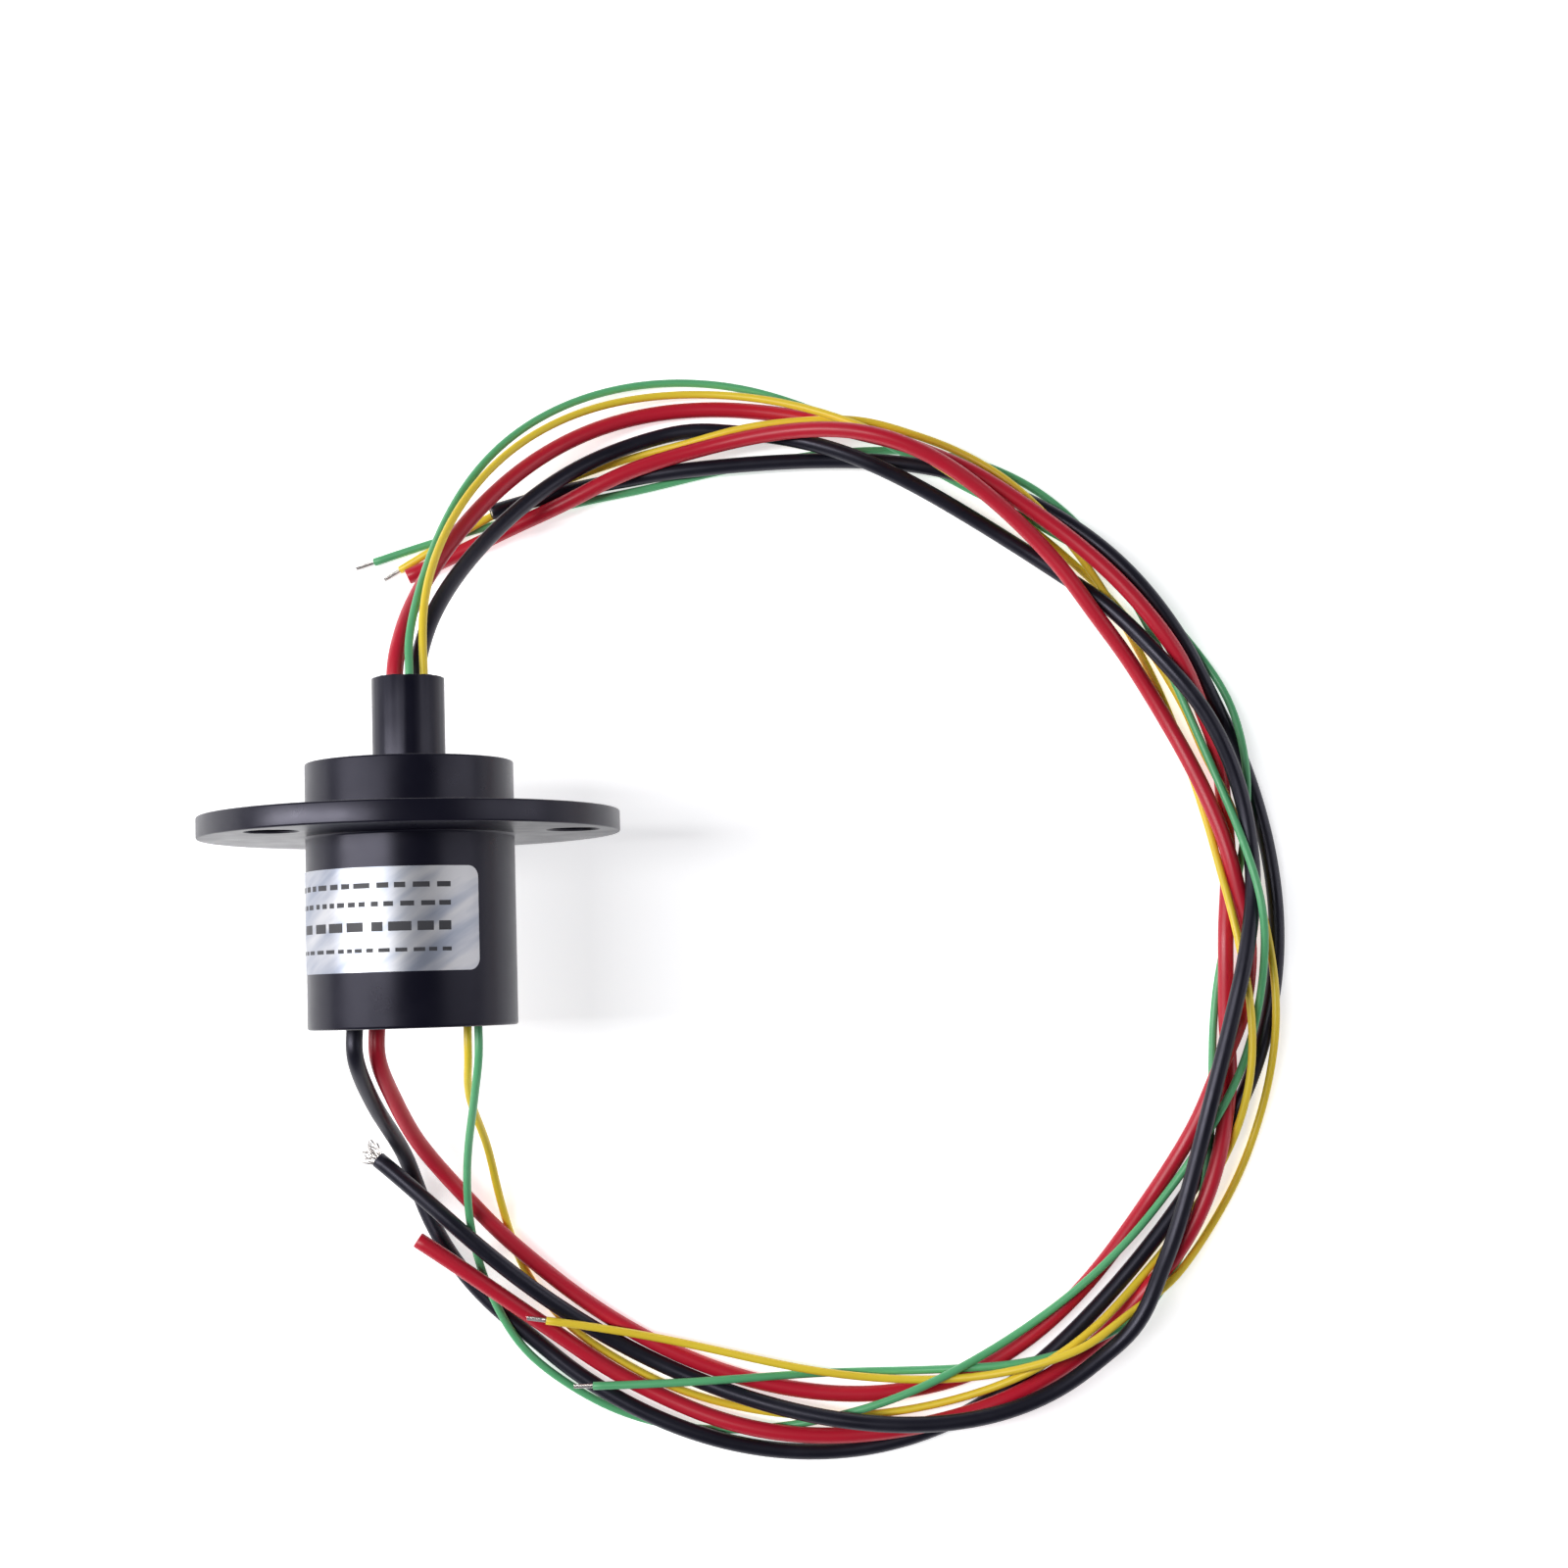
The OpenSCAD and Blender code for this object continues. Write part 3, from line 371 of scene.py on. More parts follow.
def pushed_apart(curves, radii, rounds=60, spare=0.03 * MM):
    """Moves points of different leads apart, until they nearly keep the spare gap."""
    place = np.vstack(curves)
    radius = np.concatenate([np.full(len(c), r) for c, r in zip(curves, radii)])
    owner = np.concatenate([np.full(len(c), i) for i, c in enumerate(curves)])
    fixed = np.concatenate([np.arange(len(c)) < UNPUSHED_START for c in curves])
    reach = radius[:, None] + radius[None, :] + spare
    other = owner[:, None] != owner[None, :]
    shared = np.hanning(PUSH_WINDOW)
    shared *= PUSH_GAIN / shared.sum()
    for _ in range(rounds):
        apart = place[:, None, :] - place[None, :, :]
        gap = np.linalg.norm(apart, axis=2)
        deep = np.where(other & (gap < reach), reach - gap, 0)
        if deep.max() < CLOSE_ENOUGH:
            break
        push = (apart / np.maximum(gap, 1e-9)[:, :, None] * deep[:, :, None]).sum(axis=1)
        push /= np.maximum(1, (deep > 0).sum(axis=1))[:, None]
        for i in range(len(curves)):
            mine = owner == i
            for axis in range(3):
                push[mine, axis] = np.convolve(push[mine, axis], shared, "same")
        push[fixed] = 0
        place += PUSH_STEP * push
        place[:, 2] = np.maximum(place[:, 2], TABLE + radius)
    print("least gap at the points of two leads: %.3f mm" % ((spare - deep.max()) / MM))
    return [place[owner == i] for i in range(len(curves))]


keys = list(paths)
lead_radii = [paths[key][2] for key in keys]
evened_curves = [evened(paths[key][0], *STIFFNESS[paths[key][2]]) for key in keys]
for key, curve in zip(keys, pushed_apart(evened_curves, lead_radii)):
    moved = np.linalg.norm(curve - paths[key][0], axis=1).max()
    paths[key] = (curve, *paths[key][1:])
    print(*key, "lead moved at most %.2f mm" % (moved / MM))

# %% [markdown]
# The insulation is a tube with a softly rounded rim. Its cut end is hollow for a short
# way, so that the wire inside shows.

# %% Insulation
def insulation_part(path, radius, core_r):
    """Tube along the path, with a rounded rim and a short hollow at its far end."""
    rim = 0.12 * radius
    deep = 0.5 * radius
    forward = path[-1] - path[-2]
    forward = forward / np.linalg.norm(forward)
    body = list(path[:-1]) + [path[-1] - forward * rim]
    radii = [radius] * len(body)
    for along, size in ((0.3, 0.97), (0.7, 0.93), (1.0, 0.85)):
        body.append(path[-1] - forward * rim * (1 - along))
        radii.append(radius * size)
    for back, size in ((0.0, core_r * 1.06), (deep, core_r)):
        body.append(path[-1] - forward * back)
        radii.append(size)
    return body, radii


def insulation(name, path, radius, core_r, sides=20):
    body, radii = insulation_part(path, radius, core_r)
    ahead = list(directions(path))
    ahead += [ahead[-1]] * (len(body) - len(path))
    points, faces = tube_parts(body, radii, sides, ahead=ahead)
    return mesh_piece(name, points, faces, smooth_angle=50)


leads = {}
for (side, colour), (path, exit_point, radius) in paths.items():
    core_r = 0.5 * MM if radius == POWER_R else 0.27 * MM
    lead = insulation(side + "_" + colour + "_insulation", path, radius, core_r)
    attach(lead, side)
    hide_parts(side + "_" + colour + "_lead")
    leads[side, colour] = lead
print("insulation:", len(leads), "tubes")

# %% [markdown]
# The thin leads end in a few millimetres of bare twisted wire. The thick leads are cut
# flush, but the black one on the stub has frayed into a fan of fine strands.

# %% Wire ends
def end_axes(path):
    forward = path[-1] - path[-2]
    forward = forward / np.linalg.norm(forward)
    side = np.cross((0.0, 0.0, 1.0), forward)
    side = side / np.linalg.norm(side)
    return forward, side, np.cross(forward, side)


def above_table(points, radius):
    points = np.array(points)
    points[:, 2] = np.maximum(points[:, 2], TABLE + radius)
    return points


def twisted_strand(path, place, lay_r, strand_r, length, turns, inside):
    """Strand of a twisted wire; place is its turn around the wire's middle."""
    forward, side, up = end_axes(path)
    line = []
    for t in np.linspace(0, 1, 15):
        angle = place + 2 * math.pi * turns * t
        offset = lay_r * (math.cos(angle) * side + math.sin(angle) * up)
        line.append(path[-1] + forward * (length * t - inside) + offset)
    line = above_table(line, strand_r)
    radii = [strand_r] * 14 + [strand_r * 0.75]
    return lambda first: tube_parts(line, radii, 8, first)


def twisted_wire(name, path, wire_r, length, inside, turns):
    strand_r = wire_r / 3
    parts = [twisted_strand(path, 0, 0, strand_r, length * 0.96, 0, inside)]
    for k in range(6):
        reach = length * (1 - 0.05 * random.random())
        place = k * math.pi / 3
        parts.append(twisted_strand(path, place, 2 * strand_r, strand_r, reach, turns, inside))
    return joined(name, parts, 60)


def frayed_wire(name, path, strand_r):
    forward, side, up = end_axes(path)
    parts = []
    for k in range(16):
        turn = k * 2.4
        out = 0.48 * MM * math.sqrt((k + 0.5) / 16)
        start = path[-1] - forward * 0.4 * MM + out * (math.cos(turn) * side + math.sin(turn) * up)
        reach = (1.5 + 1.2 * random.random()) * MM
        lean = (1.5 * math.cos(turn) * out / (0.48 * MM) + random.uniform(-0.3, 0.3)) * 0.75 * MM
        curl = random.uniform(-0.6, 0.6) * MM
        line = []
        for t in np.linspace(0, 1, 9):
            bow = curl * math.sin(math.pi * t)
            line.append(start + forward * reach * t + side * (lean * t * t + bow) + up * 0.5 * bow)
        line = above_table(line, strand_r)
        parts.append(lambda first, line=line: tube_parts(line, [strand_r] * 9, 6, first))
    return joined(name, parts, 60)


wire_ends = {}
for (side, colour), (path, exit_point, radius) in paths.items():
    name = side + "_" + colour + "_wire"
    if radius == SIGNAL_R:
        wire = twisted_wire(name, path, 0.25 * MM, 2.4 * MM, 0.2 * MM, 1.3)
        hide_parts(side + "_" + colour + "_bare_end")
    elif (side, colour) == ("rotor", "black"):
        wire = frayed_wire(name, path, 0.085 * MM)
        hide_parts("rotor_black_strands")
    else:
        wire = twisted_wire(name, path, 0.48 * MM, 0.4 * MM, 0.45 * MM, 0.1)
    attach(wire, side)
    wire_ends[side, colour] = wire
print("wire ends:", len(wire_ends))

# %% [markdown]
# A free lead has a length, a thickness and an end.

print("leads declared:", len(paths))

# %% [markdown]
# ## Housing
#
# The housing is moulded in one piece: a barrel, a flange with three screw holes and a
# boss. Its section is turned around the spin axis, with a small arc on each corner.

# %% Turned sections
def with_arcs(corners, arc_points=5):
    """Section [(radius, y, fillet)] with an arc of fillet at each corner."""
    section = []
    for i, (r, y, fillet) in enumerate(corners):
        corner = Vector((r, y))
        if fillet == 0:
            section.append(corner)
            continue
        before = (Vector(corners[i - 1][:2]) - corner).normalized()
        after = (Vector(corners[(i + 1) % len(corners)][:2]) - corner).normalized()
        start, end = corner + before * fillet, corner + after * fillet
        for t in np.linspace(0, 1, arc_points):
            section.append(start * (1 - t) ** 2 + corner * 2 * t * (1 - t) + end * t**2)
    return section


def turned_part(section, sides, first=0):
    """Closed section turned around the spin axis."""
    points = []
    for p in section:
        for k in range(sides):
            angle = 2 * math.pi * k / sides
            points.append((p.x * math.cos(angle), p.y, p.x * math.sin(angle)))
    return points, band_faces(len(section), sides, first, around=True)


def turned_piece(name, corners, sides=192, arc_points=5):
    points, faces = turned_part(with_arcs(corners, arc_points), sides)
    return mesh_piece(name, points, faces)


def cut_away(piece, cutter, operation="DIFFERENCE"):
    change = piece.modifiers.new("cut", "BOOLEAN")
    change.operation = operation
    change.solver = "EXACT"
    change.object = cutter
    bpy.context.view_layer.update()
    graph = bpy.context.evaluated_depsgraph_get()
    result = bpy.data.meshes.new_from_object(piece.evaluated_get(graph))
    piece.modifiers.clear()
    piece.data = result
    bpy.data.objects.remove(cutter)


def housing_section():
    edge, rim = 0.3 * MM, 0.22 * MM
    seat_r, relief_r = 6.01 * MM, 4.8 * MM
    seat, relief = BOSS_TOP - 1 * MM, BOSS_TOP - 0.8 * MM
    return [
        (BORE_R, BARREL_END, 0.1 * MM),
        (BARREL_R, BARREL_END, edge),
        (BARREL_R, 0, edge),
        (FLANGE_R, 0, rim),
        (FLANGE_R, FLANGE_T, rim),
        (BARREL_R, FLANGE_T, 0.15 * MM),
        (BARREL_R, BOSS_TOP, rim),
        (LIP_R, BOSS_TOP, 0.12 * MM),
        (LIP_R, relief, 0),
        (relief_r, relief, 0),
        (relief_r, seat, 0),
        (seat_r, seat, 0),
        (seat_r, FLANGE_T, 0),
        (BORE_R, FLANGE_T, 0),
    ]


print("turned sections ready")

# %% [markdown]
# The holes could be part of the mesh from the start, but a boolean keeps the turned
# section simple. Each cutter is a little wider at both faces, which softens the edges.
# The brush board's rails, deep inside the barrel, are left out: no view shows them.

# %% Housing with its screw holes
def hole_cutter(angle, flare=0.18 * MM, past=0.4 * MM):
    """Cutter for a screw hole, with a softened edge at both faces of the flange."""
    section = [(0, -past), (HOLE_R + flare + past, -past), (HOLE_R, flare)]
    section += [(HOLE_R, FLANGE_T - flare), (HOLE_R + flare + past, FLANGE_T + past)]
    section += [(0, FLANGE_T + past)]
    sides = 48
    centre = (HOLE_CIRCLE_R * math.cos(angle), HOLE_CIRCLE_R * math.sin(angle))
    points = []
    for r, y in section[1:-1]:
        for k in range(sides):
            turn = 2 * math.pi * k / sides
            points.append((centre[0] + r * math.cos(turn), y, centre[1] + r * math.sin(turn)))
    faces = band_faces(4, sides)
    faces.append(tuple(range(sides)))
    faces.append(tuple(3 * sides + k for k in reversed(range(sides))))
    return mesh_piece("hole_cutter", points, faces)


def smooth_again(piece, angle=30):
    bm = bmesh.new()
    bm.from_mesh(piece.data)
    bmesh.ops.remove_doubles(bm, verts=bm.verts, dist=0.002 * MM)
    for face in bm.faces:
        face.smooth = True
    for edge in bm.edges:
        if len(edge.link_faces) == 2:
            edge.smooth = edge.calc_face_angle(0) < math.radians(angle)
    bm.to_mesh(piece.data)
    bm.free()


housing = turned_piece("moulded_housing", housing_section())
for angle in HOLE_ANGLES:
    cut_away(housing, hole_cutter(angle))
smooth_again(housing)
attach(housing, "stator")
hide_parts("housing")
print("housing:", len(housing.data.polygons), "faces")

# %% [markdown]
# ## Stub shaft and potting
#
# The stub's mouth was sawn off, so its rim is a little rough. Black resin fills the
# mouth, climbs up each lead and has left a few beads.

# %% Stub shaft
def shaft_section():
    journal_r, core_r, rear_r, groove_r = 4 * MM, 3.5 * MM, 3 * MM, 2.75 * MM
    shoulder_r, journal_top = 4.7 * MM, BOSS_TOP - 0.9 * MM
    return [
        (0, -17.4 * MM, 0),
        (rear_r, -17.4 * MM, 0.15 * MM),
        (rear_r, -16.8 * MM, 0),
        (groove_r, -16.8 * MM, 0),
        (groove_r, -16.2 * MM, 0),
        (rear_r, -16.2 * MM, 0),
        (rear_r, -11.2 * MM, 0),
        (core_r, -11.2 * MM, 0),
        (core_r, 2.2 * MM, 0),
        (shoulder_r, 2.2 * MM, 0.1 * MM),
        (shoulder_r, 3.3 * MM, 0.1 * MM),
        (journal_r, 3.3 * MM, 0),
        (journal_r, journal_top, 0),
        (STUB_R, journal_top, 0),
        (STUB_R, MOUTH, 0.14 * MM),
        (PASSAGE_R, MOUTH, 0.1 * MM),
        (PASSAGE_R, -10.6 * MM, 0),
        (0, -10.6 * MM, 0),
    ]


def roughen_rim(piece, depth, reach):
    """Uneven rim: small nicks and flash round the mouth, none further down."""
    for vertex in piece.data.vertices:
        near = 1 - min(1, (MOUTH - vertex.co.y) / reach)
        if near <= 0:
            continue
        turn = math.atan2(vertex.co.z, vertex.co.x)
        wave = math.sin(5 * turn + 1) + 0.7 * math.sin(13 * turn) + 0.5 * math.sin(29 * turn + 2)
        vertex.co.y -= near * depth * (1.1 + 0.5 * wave)
        vertex.co.x *= 1 + near * 0.006 * wave
        vertex.co.z *= 1 + near * 0.006 * wave


shaft = turned_piece("stub_shaft", shaft_section(), sides=128)
roughen_rim(shaft, 0.06 * MM, 0.35 * MM)
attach(shaft, "rotor")
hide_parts("rotor_shaft")
print("shaft:", len(shaft.data.polygons), "faces")

# %% [markdown]
# Resin wets what it touches, so its surface rises round each lead. A height over a disc
# of rings gives that shape, with a few half-round beads in the same height.

# %% Potting in the mouth
POTTING_TOP, POTTING_LOW = MOUTH - 0.4 * MM, MOUTH - 3 * MM
BEADS = [(-1.9, 1.3, 0.55), (1.9, 0.6, 0.5), (-0.4, -1.9, 0.55), (2.2, 1.5, 0.35)]


def potting_height(x, z):
    height = POTTING_TOP
    for index, (lead_x, lead_z) in enumerate(ROTOR_EXITS):
        radius = POWER_R if index < 2 else SIGNAL_R
        gap = max(0, math.hypot(x - lead_x * MM, z - lead_z * MM) - radius)
        height += 0.45 * MM * math.exp(-((gap / (0.35 * MM)) ** 2))
    for bead_x, bead_z, size in BEADS:
        gap = math.hypot(x - bead_x * MM, z - bead_z * MM) / (size * MM)
        if gap < 1:
            height = max(height, POTTING_TOP + size * MM * math.sqrt(1 - gap * gap))
    return height


def potting_mesh(rings=26, sides=96):
    points, radius = [], PASSAGE_R - 0.01 * MM
    for ring in range(rings):
        r = radius * (ring + 0.5) / (rings - 0.5)
        for k in range(sides):
            turn = 2 * math.pi * k / sides
            x, z = r * math.cos(turn), r * math.sin(turn)
            points.append((x, potting_height(x, z), z))
    for k in range(sides):
        turn = 2 * math.pi * k / sides
        points.append((radius * math.cos(turn), POTTING_LOW, radius * math.sin(turn)))
    faces = band_faces(rings + 1, sides)
    faces.append(tuple(reversed(range(sides))))
    faces.append(tuple(rings * sides + k for k in range(sides)))
    return mesh_piece("mouth_potting", points, faces, 50)


potting = potting_mesh()
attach(potting, "rotor")
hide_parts("stub_potting")
print("potting:", len(potting.data.polygons), "faces")

# %% [markdown]
# ## Label
#
# The silver label wraps round the barrel. Its corners are rounded. The printed rows are
# plain dashes, laid a hair above the foil.

# %% Label foil
LABEL_R = 11.02 * MM
LABEL_T = 0.06 * MM
LABEL_LOW, LABEL_HIGH = -14.4 * MM, -3.7 * MM
LABEL_RIGHT = math.radians(90 - 46.5)
LABEL_SPAN = math.radians(156)
LABEL_CORNER = 1.2 * MM


def on_barrel(radius, angle, y):
    return (radius * math.cos(angle), y, radius * math.sin(angle))


def label_foil():
    columns, rows = 150, 12
    width = LABEL_SPAN * LABEL_R
    outer, inner = [], []
    for i in range(columns + 1):
        along = 0.5 * width * (1 - math.cos(math.pi * i / columns))
        near = min(along, width - along)
        cut = 0
        if near < LABEL_CORNER:
            cut = LABEL_CORNER - math.sqrt(LABEL_CORNER**2 - (LABEL_CORNER - near) ** 2)
        angle = LABEL_RIGHT + along / LABEL_R
        for j in range(rows + 1):
            y = LABEL_LOW + cut + (LABEL_HIGH - LABEL_LOW - 2 * cut) * j / rows
            outer.append(on_barrel(LABEL_R + LABEL_T, angle, y))
            inner.append(on_barrel(LABEL_R, angle, y))
    step, back = rows + 1, len(outer)
    faces = []
    for i in range(columns):
        for j in range(rows):
            a = i * step + j
            faces.append((a, a + 1, a + 1 + step, a + step))
            faces.append((back + a, back + a + step, back + a + 1 + step, back + a + 1))
        for a, b in ((i * step, (i + 1) * step), ((i + 1) * step + rows, i * step + rows)):
            faces.append((a, b, back + b, back + a))
    for j in range(rows):
        for a, b in ((j + 1, j), (columns * step + j, columns * step + j + 1)):
            faces.append((a, b, back + b, back + a))
    return mesh_piece("barrel_label", outer + inner, faces)


label = label_foil()
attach(label, "stator")
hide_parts("rating_label")
print("label:", len(label.data.polygons), "faces")

# %% [markdown]
# The real label carries words. This one has rows of plain dashes with no meaning. They
# are thin patches of their own, so that they stay sharp and need no image.

# %% Printed dashes
def dash(low_angle, high_angle, y, height, radius):
    """Thin curved patch of print, closed at its back."""
    count = max(2, int((high_angle - low_angle) / math.radians(2)) + 1)
    points = []
    for angle in np.linspace(low_angle, high_angle, count + 1):
        for r in (radius + 0.006 * MM, radius):
            points.append(on_barrel(r, angle, y - height / 2))
            points.append(on_barrel(r, angle, y + height / 2))
    faces = []
    for i in range(count):
        a = 4 * i
        faces += [(a, a + 1, a + 5, a + 4), (a + 3, a + 2, a + 6, a + 7)]
        faces += [(a + 2, a, a + 4, a + 6), (a + 1, a + 3, a + 7, a + 5)]
    end = 4 * count
    faces += [(0, 2, 3, 1), (end, end + 1, end + 3, end + 2)]
    return points, faces


PRINT_ROWS = [(-5.6, 0.55, 1.9, 0.5), (-7.5, 0.5, 1.5, 0.5), (-9.8, 0.95, 2.6, 0.6),
              (-12.2, 0.4, 1.3, 0.4)]


def print_row(y, height, longest, gap):
    parts = []
    angle = LABEL_RIGHT + math.radians(17)
    last = LABEL_RIGHT + LABEL_SPAN - math.radians(16)
    while angle < last:
        reach = random.uniform(0.45, 1) * longest * MM / LABEL_R
        high = min(angle + reach, last)
        parts.append((angle, high, y * MM, height * MM, LABEL_R + LABEL_T + 0.004 * MM))
        angle = high + random.uniform(0.8, 1.6) * gap * MM / LABEL_R
    return parts


def dash_shell(place):
    """One dash as a shell for joined()."""
    def shell(first):
        points, faces = dash(*place)
        return points, [tuple(first + k for k in face) for face in faces]

    return shell


dash_places = [place for row in PRINT_ROWS for place in print_row(*row)]
label_print = joined("label_dashes", [dash_shell(place) for place in dash_places])
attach(label_print, "stator")
print("printed dashes:", len(dash_places))

# %% [markdown]
# ## Shared effects
#
# Each effect is a small node group. A group gives a mask, a colour or a normal, and the
# shader stays in the material.


# %% Node group helper
def new_group(name, inputs, outputs):
    group = bpy.data.node_groups.new(name, "ShaderNodeTree")
    for label_text, kind, value in inputs:
        socket = group.interface.new_socket(label_text, in_out="INPUT", socket_type=kind)
        socket.default_value = value
    for label_text, kind in outputs:
        group.interface.new_socket(label_text, in_out="OUTPUT", socket_type=kind)
    start = group.nodes.new("NodeGroupInput")
    end = group.nodes.new("NodeGroupOutput")
    return group, start, end


def node(tree, kind, **values):
    made = tree.nodes.new(kind)
    for key, value in values.items():
        setattr(made, key, value)
    return made


FLOAT, COLOR, VECTOR = "NodeSocketFloat", "NodeSocketColor", "NodeSocketVector"
print("node group helper ready")

# %% [markdown]
# No plastic or metal has one colour all over. Soft noise drifts between two close
# colours, and between two roughnesses.

# %% Blotch: two colours and two roughnesses mixed by soft noise
blotch, start, end = new_group(
    "blotch",
    [("Scale", FLOAT, 300.0), ("Colour A", COLOR, (0, 0, 0, 1)), ("Colour B", COLOR, (1, 1, 1, 1)),
     ("Low", FLOAT, 0.4), ("High", FLOAT, 0.5)],
    [("Colour", COLOR), ("Value", FLOAT)],
)
place = node(blotch, "ShaderNodeTexCoord")
noise = node(blotch, "ShaderNodeTexNoise")
noise.inputs["Detail"].default_value = 4
mixed = node(blotch, "ShaderNodeMix", data_type="RGBA")
spread = node(blotch, "ShaderNodeMapRange")
spread.inputs["From Min"].default_value = 0.3
spread.inputs["From Max"].default_value = 0.7
blotch.links.new(place.outputs["Object"], noise.inputs["Vector"])
blotch.links.new(start.outputs["Scale"], noise.inputs["Scale"])
blotch.links.new(noise.outputs["Fac"], mixed.inputs["Factor"])
blotch.links.new(start.outputs["Colour A"], mixed.inputs["A"])
blotch.links.new(start.outputs["Colour B"], mixed.inputs["B"])
blotch.links.new(noise.outputs["Fac"], spread.inputs["Value"])
blotch.links.new(start.outputs["Low"], spread.inputs["To Min"])
blotch.links.new(start.outputs["High"], spread.inputs["To Max"])
blotch.links.new(mixed.outputs["Result"], end.inputs["Colour"])
blotch.links.new(spread.outputs["Result"], end.inputs["Value"])
print("group:", blotch.name)

# %% [markdown]
# A mould leaves a fine grain and long shallow waves. Both go into one bump, which is
# lighter to render than real relief at this size.

# %% Fine grain: the skin of a moulded or extruded plastic
grain, start, end = new_group(
    "fine_grain",
    [("Scale", FLOAT, 6000.0), ("Depth", FLOAT, 0.1), ("Waves", FLOAT, 250.0)],
    [("Normal", VECTOR)],
)
place = node(grain, "ShaderNodeTexCoord")
fine = node(grain, "ShaderNodeTexNoise")
fine.inputs["Detail"].default_value = 2
waves = node(grain, "ShaderNodeTexNoise")
waves.inputs["Detail"].default_value = 1
both = node(grain, "ShaderNodeMath", operation="MULTIPLY_ADD")
both.inputs[1].default_value = 0.25
bump = node(grain, "ShaderNodeBump")
bump.inputs["Distance"].default_value = 0.03 * MM
grain.links.new(place.outputs["Object"], fine.inputs["Vector"])
grain.links.new(place.outputs["Object"], waves.inputs["Vector"])
grain.links.new(start.outputs["Scale"], fine.inputs["Scale"])
grain.links.new(start.outputs["Waves"], waves.inputs["Scale"])
grain.links.new(fine.outputs["Fac"], both.inputs[0])
grain.links.new(waves.outputs["Fac"], both.inputs[2])
grain.links.new(both.outputs["Value"], bump.inputs["Height"])
grain.links.new(start.outputs["Depth"], bump.inputs["Strength"])
grain.links.new(bump.outputs["Normal"], end.inputs["Normal"])
print("group:", grain.name)

# %% [markdown]
# A lathe leaves fine rings. Noise read only along the radius and the axis is the same
# all the way round, so it draws those rings.

# %% Turned lines: fine rings around the spin axis
turned, start, end = new_group(
    "turned_lines",
    [("Scale", FLOAT, 9000.0), ("Depth", FLOAT, 0.15), ("Low", FLOAT, 0.2), ("High", FLOAT, 0.4)],
    [("Normal", VECTOR), ("Value", FLOAT)],
)
place = node(turned, "ShaderNodeTexCoord")
split = node(turned, "ShaderNodeSeparateXYZ")
radial = node(turned, "ShaderNodeVectorMath", operation="LENGTH")
flat = node(turned, "ShaderNodeCombineXYZ")
line_place = node(turned, "ShaderNodeCombineXYZ")
lines = node(turned, "ShaderNodeTexNoise")
lines.inputs["Detail"].default_value = 3
bump = node(turned, "ShaderNodeBump")
bump.inputs["Distance"].default_value = 0.01 * MM
spread = node(turned, "ShaderNodeMapRange")
turned.links.new(place.outputs["Object"], split.inputs["Vector"])
turned.links.new(split.outputs["X"], flat.inputs["X"])
turned.links.new(split.outputs["Z"], flat.inputs["Z"])
turned.links.new(flat.outputs["Vector"], radial.inputs[0])
turned.links.new(radial.outputs["Value"], line_place.inputs["X"])
turned.links.new(split.outputs["Y"], line_place.inputs["Y"])
turned.links.new(line_place.outputs["Vector"], lines.inputs["Vector"])
turned.links.new(start.outputs["Scale"], lines.inputs["Scale"])
turned.links.new(lines.outputs["Fac"], bump.inputs["Height"])
turned.links.new(start.outputs["Depth"], bump.inputs["Strength"])
turned.links.new(lines.outputs["Fac"], spread.inputs["Value"])
turned.links.new(start.outputs["Low"], spread.inputs["To Min"])
turned.links.new(start.outputs["High"], spread.inputs["To Max"])
turned.links.new(bump.outputs["Normal"], end.inputs["Normal"])
turned.links.new(spread.outputs["Result"], end.inputs["Value"])
print("group:", turned.name)

# %% [markdown]
# ## Materials
#
# One function makes each kind of surface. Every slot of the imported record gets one.


# %% Surface makers
def shader_of(name):
    material = bpy.data.materials.new(name)
    material.use_nodes = True
    return material, material.node_tree, material.node_tree.nodes["Principled BSDF"]


def use_group(tree, group, **values):
    made = tree.nodes.new("ShaderNodeGroup")
    made.node_tree = group
    for key, value in values.items():
        made.inputs[key.replace("_", " ")].default_value = value
    return made


def plastic(name, colour, other, rough, grain_scale, depth, specular=0.5, coat=0.0):
    material, tree, shader = shader_of(name)
    shader.inputs["Specular IOR Level"].default_value = specular
    shader.inputs["Coat Weight"].default_value = coat
    patch = use_group(tree, blotch, Scale=260, Colour_A=(*colour, 1), Colour_B=(*other, 1),
                      Low=rough[0], High=rough[1])
    skin = use_group(tree, grain, Scale=grain_scale, Depth=depth)
    tree.links.new(patch.outputs["Colour"], shader.inputs["Base Color"])
    tree.links.new(patch.outputs["Value"], shader.inputs["Roughness"])
    tree.links.new(skin.outputs["Normal"], shader.inputs["Normal"])
    return material


def metal(name, colour, other, rough, line_scale=9000, depth=0.15):
    material, tree, shader = shader_of(name)
    shader.inputs["Metallic"].default_value = 1
    patch = use_group(tree, blotch, Scale=500, Colour_A=(*colour, 1), Colour_B=(*other, 1))
    lines_used = use_group(tree, turned, Scale=line_scale, Depth=depth, Low=rough[0],
                           High=rough[1])
    tree.links.new(patch.outputs["Colour"], shader.inputs["Base Color"])
    tree.links.new(lines_used.outputs["Value"], shader.inputs["Roughness"])
    tree.links.new(lines_used.outputs["Normal"], shader.inputs["Normal"])
    return material


print("surface makers ready")

# %% [markdown]
# Each slot of the record gets its own surface. The black mouldings, shaft and leads have
# a slight violet sheen, set on the shader itself because it is the same all over.

